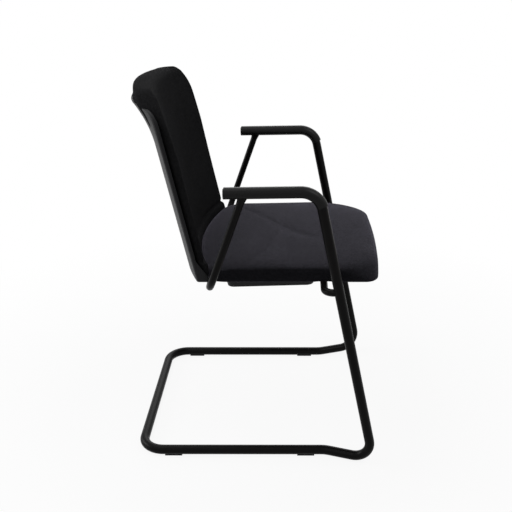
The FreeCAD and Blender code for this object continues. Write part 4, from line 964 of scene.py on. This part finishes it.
def cushion_surface(back):
    """The back cushion: each row's depth is a blend of the dished face, the board side and the roll's rear.
    Columns run across the board, lap round its edge and close towards the sides like an ellipse.
    Near the top the rear half of the ellipse is wider, so the cheeks taper towards the shell."""
    heights, to_face, to_board, to_roll = (values[:, None] for values in cushion_rows(back))
    top = BACK_HIGH.z + back.top_proud
    share = np.linspace(-1.0, 1.0, FACE_COLUMNS)
    ends = np.sin(math.pi / 2.0 * np.linspace(0.0, 1.0, SIDE_COLUMNS))
    reach = half_width_at(BACK_HIGH.x, back.cushion_corner, top, heights)
    upper = smooth_step(*CHEEK_RISE, heights)
    side_round = back.side_round + back.cheek * upper
    inner = reach - side_round
    crest = reach - back.side_round
    edge = np.minimum(board_half(back, heights) + MILLIMETRE, inner - 0.006)
    lap = edge + MILLIMETRE + (inner - edge - MILLIMETRE) * np.linspace(0.0, 1.0, LAP_COLUMNS)[None, :]
    right = np.hstack([lap, inner + side_round * ends[None, 1:]])
    xs = np.hstack([-right[:, ::-1], share[None, :] * edge, right])
    ahead = np.sqrt(1.0 - np.clip((np.abs(xs) - crest) / back.side_round, 0.0, 1.0) ** 2)
    behind = np.sqrt(1.0 - np.clip((np.abs(xs) - inner) / side_round, 0.0, 1.0) ** 2)
    inner_xs = np.clip(xs, -inner, inner)

    face = cushion_face(back, np.clip(xs, -crest, crest), heights) - foot_swell(back, heights)
    rear = shell_rear(back, inner_xs, heights) - back.wall
    on_board = (np.abs(xs) < edge + 0.5 * MILLIMETRE) & (heights < PANEL_HIGH.z + 0.6 * MILLIMETRE)
    on_board &= heights > PANEL_LOW.z - 0.6 * MILLIMETRE
    lapped = rear - back.board_room + MILLIMETRE + upper * (back.board_room - 2.5 * MILLIMETRE)
    board = np.where(on_board, rear - back.board_room - back.board - CLEARANCE, lapped)
    roll = shell_rear(back, inner_xs, np.full_like(heights, lip_top(back))) - back.roll_tuck
    ys = to_face * face + to_board * board + to_roll * roll
    into_roll = smooth_step(lip_top(back) - 0.010, lip_top(back) + ROLL_GAP, heights)
    rearward = 0.5 - 0.42 * upper
    middle = (1.0 - rearward) * face + rearward * (lapped + into_roll * (roll - lapped))
    ys = middle + (ys - middle) * np.where(ys < middle, ahead, behind)
    arched = 1.0 - (xs / BACK_HIGH.x) ** 2
    zs = heights + back.top_crown * arched * smooth_step(lip_top(back) + ROLL_GAP, BACK_HIGH.z, heights)
    points = np.stack([xs, ys, zs], axis=-1)
    held = np.zeros(xs.shape)
    fixed = (to_board[:, 0] > 0.5) | ((to_face[:, 0] > 0.0) & (heights[:, 0] <= BACK_LOW.z + 0.004))
    held[fixed] = 1.0
    seam = BACK_LOW.z + back.roll_height
    sewn = (np.abs(heights[:, 0] - seam) < 0.002) & (to_face[:, 0] > 0.99)
    held[sewn] = 1.0
    return points, held


def strip_chart(points):
    """A flat chart of a grid: distances across along the rows, and round the section along the columns."""
    around = np.linalg.norm(np.diff(points, axis=0), axis=-1)
    middle = points.shape[1] // 2
    up = np.hstack([0.0, np.cumsum(around[:, middle])])[:, None] * np.ones((1, points.shape[1]))
    across = np.linalg.norm(np.diff(points, axis=1), axis=-1)
    right = np.hstack([np.zeros((points.shape[0], 1)), np.cumsum(across, axis=1)])
    right = right - right[:, middle:middle + 1]
    return np.stack([right, up], axis=-1)


class CHAIR_OT_back_cushion(bpy.types.Operator):
    """Upholsters the back: a dished pad with a sewn roll at its foot and a thick roll over the shell."""

    bl_idname = "chair.back_cushion"
    bl_label = "Back cushion"

    def execute(self, context):
        back = context.scene.chair_back
        points, held = cushion_surface(back)
        chart = strip_chart(points)
        piece = grid_object("back_cushion_cover", points, wrap_rows=True, chart=chart, held=held)
        close_up(piece)
        pad_out(piece, back.swell)
        add_modifier(piece, "finer", "SUBSURF", levels=1, render_levels=1)
        dress(piece, Finishes.get("back_cloth"), "back_cloth", "back_cushion")
        refinish(Finishes.get("plywood"), "back_board")
        return {"FINISHED"}


# Frame

class CHAIR_OT_frame(bpy.types.Operator):
    """Powder-coats the frame, its seat tubes, collars, lugs and uprights."""

    bl_idname = "chair.frame"
    bl_label = "Frame finish"

    def execute(self, context):
        painted = ["frame_tube", "rear_support_tube", "front_cross_tube"]
        for side, _ in SIDES:
            painted += ["strut_collar_" + side, "back_upright_" + side]
            painted += ["seat_lug_front_" + side, "seat_lug_rear_" + side]
        refinish(Finishes.get("paint"), *painted)
        return {"FINISHED"}


class CHAIR_OT_mouldings(bpy.types.Operator):
    """Finishes the arm pads, plugs, glides and the tray under the seat."""

    bl_idname = "chair.mouldings"
    bl_label = "Mouldings"

    def execute(self, context):
        moulded = []
        for side, _ in SIDES:
            moulded += ["arm_pad_" + side, "arm_end_plug_" + side]
            moulded += ["glide_front_" + side, "glide_rear_" + side]
        refinish(Finishes.get("pad"), *moulded)
        refinish(Finishes.get("shell"), "seat_under_cover")
        return {"FINISHED"}


class CHAIR_OT_fasteners(bpy.types.Operator):
    """Plates the screws, bolts and tee nuts."""

    bl_idname = "chair.fasteners"
    bl_label = "Fasteners"

    def execute(self, context):
        refinish(Finishes.get("zinc"), "under_cover_screws", "seat_lug_screws", "seat_tee_nuts",
                 "back_bolts", "back_tee_nuts")
        return {"FINISHED"}


# Studio

def white_rays(tree):
    """One for the rays that see the studio as plain white, and nought for those that light the chair."""
    rays = add_node(tree, "ShaderNodeLightPath")
    seen = rays.outputs["Is Camera Ray"]
    for kind in ("Is Glossy Ray", "Is Transmission Ray"):
        either = add_node(tree, "ShaderNodeMath", {"operation": "MAXIMUM"}, {0: seen, 1: rays.outputs[kind]})
        seen = either.outputs[0]
    return seen


def pale_ground(digits):
    """Matt painted floor: pale grey that shows white to the camera, away from the chair's own soft shadow."""
    material, tree, shader = new_material("matt_floor_paint")
    shader.inputs["Base Color"].default_value = linear(digits)
    shader.inputs["Roughness"].default_value = 0.9
    shader.inputs["Specular IOR Level"].default_value = 0.1
    white = add_node(tree, "ShaderNodeEmission", {"Color": (1.0, 1.0, 1.0, 1.0), "Strength": 1.0})
    place = add_node(tree, "ShaderNodeTexCoord").outputs["Object"]
    distance = add_node(tree, "ShaderNodeVectorMath", {"operation": "LENGTH"}, {0: place})
    away = add_node(tree, "ShaderNodeMapRange",
                    {"From Min": 0.45, "From Max": 1.3, "To Min": 0.91, "To Max": 1.0},
                    {"Value": distance.outputs["Value"]})
    share = add_node(tree, "ShaderNodeMath", {"operation": "MULTIPLY"},
                     {0: white_rays(tree), 1: away.outputs["Result"]})
    mixed = add_node(tree, "ShaderNodeMixShader", links={0: share.outputs[0], 1: shader.outputs["BSDF"],
                                                         2: white.outputs["Emission"]})
    output = next(node for node in tree.nodes if node.bl_idname == "ShaderNodeOutputMaterial")
    tree.links.new(mixed.outputs["Shader"], output.inputs["Surface"])
    return material


# Name, place, aim, width and depth, and power in watts.
LAMPS = (
    ("overhead", (0.1, 0.75, 2.4), (0.0, -0.05, 0.45), (2.0, 1.2), 18.0),
    ("far_side", (2.6, 0.0, 1.7), (0.0, 0.0, 0.3), (2.2, 1.4), 22.0),
    ("front", (-0.7, -1.5, 2.5), (0.0, 0.1, 0.6), (1.2, 1.2), 20.0),
    ("near_side", (-2.2, 1.2, 2.0), (0.0, 0.1, 0.7), (1.2, 1.2), 7.0),
    ("behind", (0.3, 2.6, 1.1), (0.0, 0.0, 0.3), (1.8, 1.0), 34.0),
)


def soft_lamp(name, place, aim, size, power):
    """A large soft lamp that faces a point."""
    lamp = bpy.data.lights.new(name, "AREA")
    lamp.shape = "RECTANGLE"
    lamp.size, lamp.size_y = size
    lamp.energy = power
    holder = bpy.data.objects.new(name, lamp)
    bpy.context.scene.collection.objects.link(holder)
    holder.visible_camera = False
    holder.location = place
    holder.rotation_euler = (Vector(aim) - Vector(place)).to_track_quat("-Z", "Y").to_euler()


CAMERA_PLACE = (-1.8218, -0.0965, 1.1372)
CAMERA_TURN = math.radians(0.11)
CAMERA_TILT = math.radians(21.84)
CAMERA_LENS = 56.36
SENSOR_WIDTH = 36.0
CAMERA_SHIFT = -0.0775


def chair_camera():
    """The photograph's view: from the chair's right side, looking down a little."""
    data = bpy.data.cameras.new("camera")
    data.lens = CAMERA_LENS
    data.sensor_width = SENSOR_WIDTH
    data.shift_x = CAMERA_SHIFT
    holder = bpy.data.objects.new("camera", data)
    bpy.context.scene.collection.objects.link(holder)
    level = math.cos(CAMERA_TILT)
    heading = Vector((level * math.cos(CAMERA_TURN), level * math.sin(CAMERA_TURN), -math.sin(CAMERA_TILT)))
    holder.location = CAMERA_PLACE
    holder.rotation_euler = heading.to_track_quat("-Z", "Y").to_euler()
    bpy.context.scene.camera = holder


FLOOR_REACH = 12.0


class CHAIR_OT_stage(bpy.types.Operator):
    """Sets up the pale floor, the soft lamps and the camera."""

    bl_idname = "chair.stage"
    bl_label = "Stage"

    def execute(self, context):
        steps = np.linspace(-FLOOR_REACH, FLOOR_REACH, 9)
        xs, ys = np.meshgrid(steps, steps)
        floor = grid_object("floor", np.stack([xs, ys, np.zeros_like(xs)], axis=-1))
        floor.data.materials.append(pale_ground(context.scene.chair_colours.floor))
        world = bpy.data.worlds.new("studio")
        world.use_nodes = True
        context.scene.world = world
        tree = world.node_tree
        tree.nodes.clear()
        level = add_node(tree, "ShaderNodeMapRange", {"To Min": 0.15, "To Max": 1.0},
                         {"Value": white_rays(tree)})
        white = add_node(tree, "ShaderNodeBackground", {"Color": (1.0, 1.0, 1.0, 1.0)},
                         {"Strength": level.outputs["Result"]})
        add_node(tree, "ShaderNodeOutputWorld", links={"Surface": white.outputs["Background"]})
        for lamp in LAMPS:
            soft_lamp(*lamp)
        chair_camera()
        context.scene.view_settings.view_transform = "Standard"
        return {"FINISHED"}


class CHAIR_PT_panel(bpy.types.Panel):
    """Lists the chair's pieces, sizes and colours."""

    bl_idname = "CHAIR_PT_panel"
    bl_label = "Cantilever chair"
    bl_space_type = "VIEW_3D"
    bl_region_type = "UI"
    bl_category = "Chair"

    def draw(self, context):
        for step in STEPS:
            self.layout.operator(step.bl_idname)
        for group in (context.scene.chair_seat, context.scene.chair_back, context.scene.chair_colours):
            box = self.layout.box()
            for name in group.bl_rna.properties.keys():
                if name not in ("rna_type", "name"):
                    box.prop(group, name)


STEPS = (CHAIR_OT_frame, CHAIR_OT_seat, CHAIR_OT_back_shell, CHAIR_OT_back_cushion, CHAIR_OT_mouldings,
         CHAIR_OT_fasteners, CHAIR_OT_stage)
GROUPS = (ChairSeatSizes, ChairBackSizes, ChairColours)


def register():
    """Registers the groups, operators and panel, and hangs the groups on the scene."""
    for made in (*GROUPS, *STEPS, CHAIR_PT_panel):
        bpy.utils.register_class(made)
    bpy.types.Scene.chair_seat = PointerProperty(type=ChairSeatSizes)
    bpy.types.Scene.chair_back = PointerProperty(type=ChairBackSizes)
    bpy.types.Scene.chair_colours = PointerProperty(type=ChairColours)


def unregister():
    """Takes everything off again."""
    del bpy.types.Scene.chair_colours
    del bpy.types.Scene.chair_back
    del bpy.types.Scene.chair_seat
    for made in reversed((*GROUPS, *STEPS, CHAIR_PT_panel)):
        bpy.utils.unregister_class(made)


def main():
    """Makes the whole chair and its stage."""
    register()
    for step in STEPS:
        family, name = step.bl_idname.split(".")
        getattr(getattr(bpy.ops, family), name)()
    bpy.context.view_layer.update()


if __name__ == "__main__":
    main()
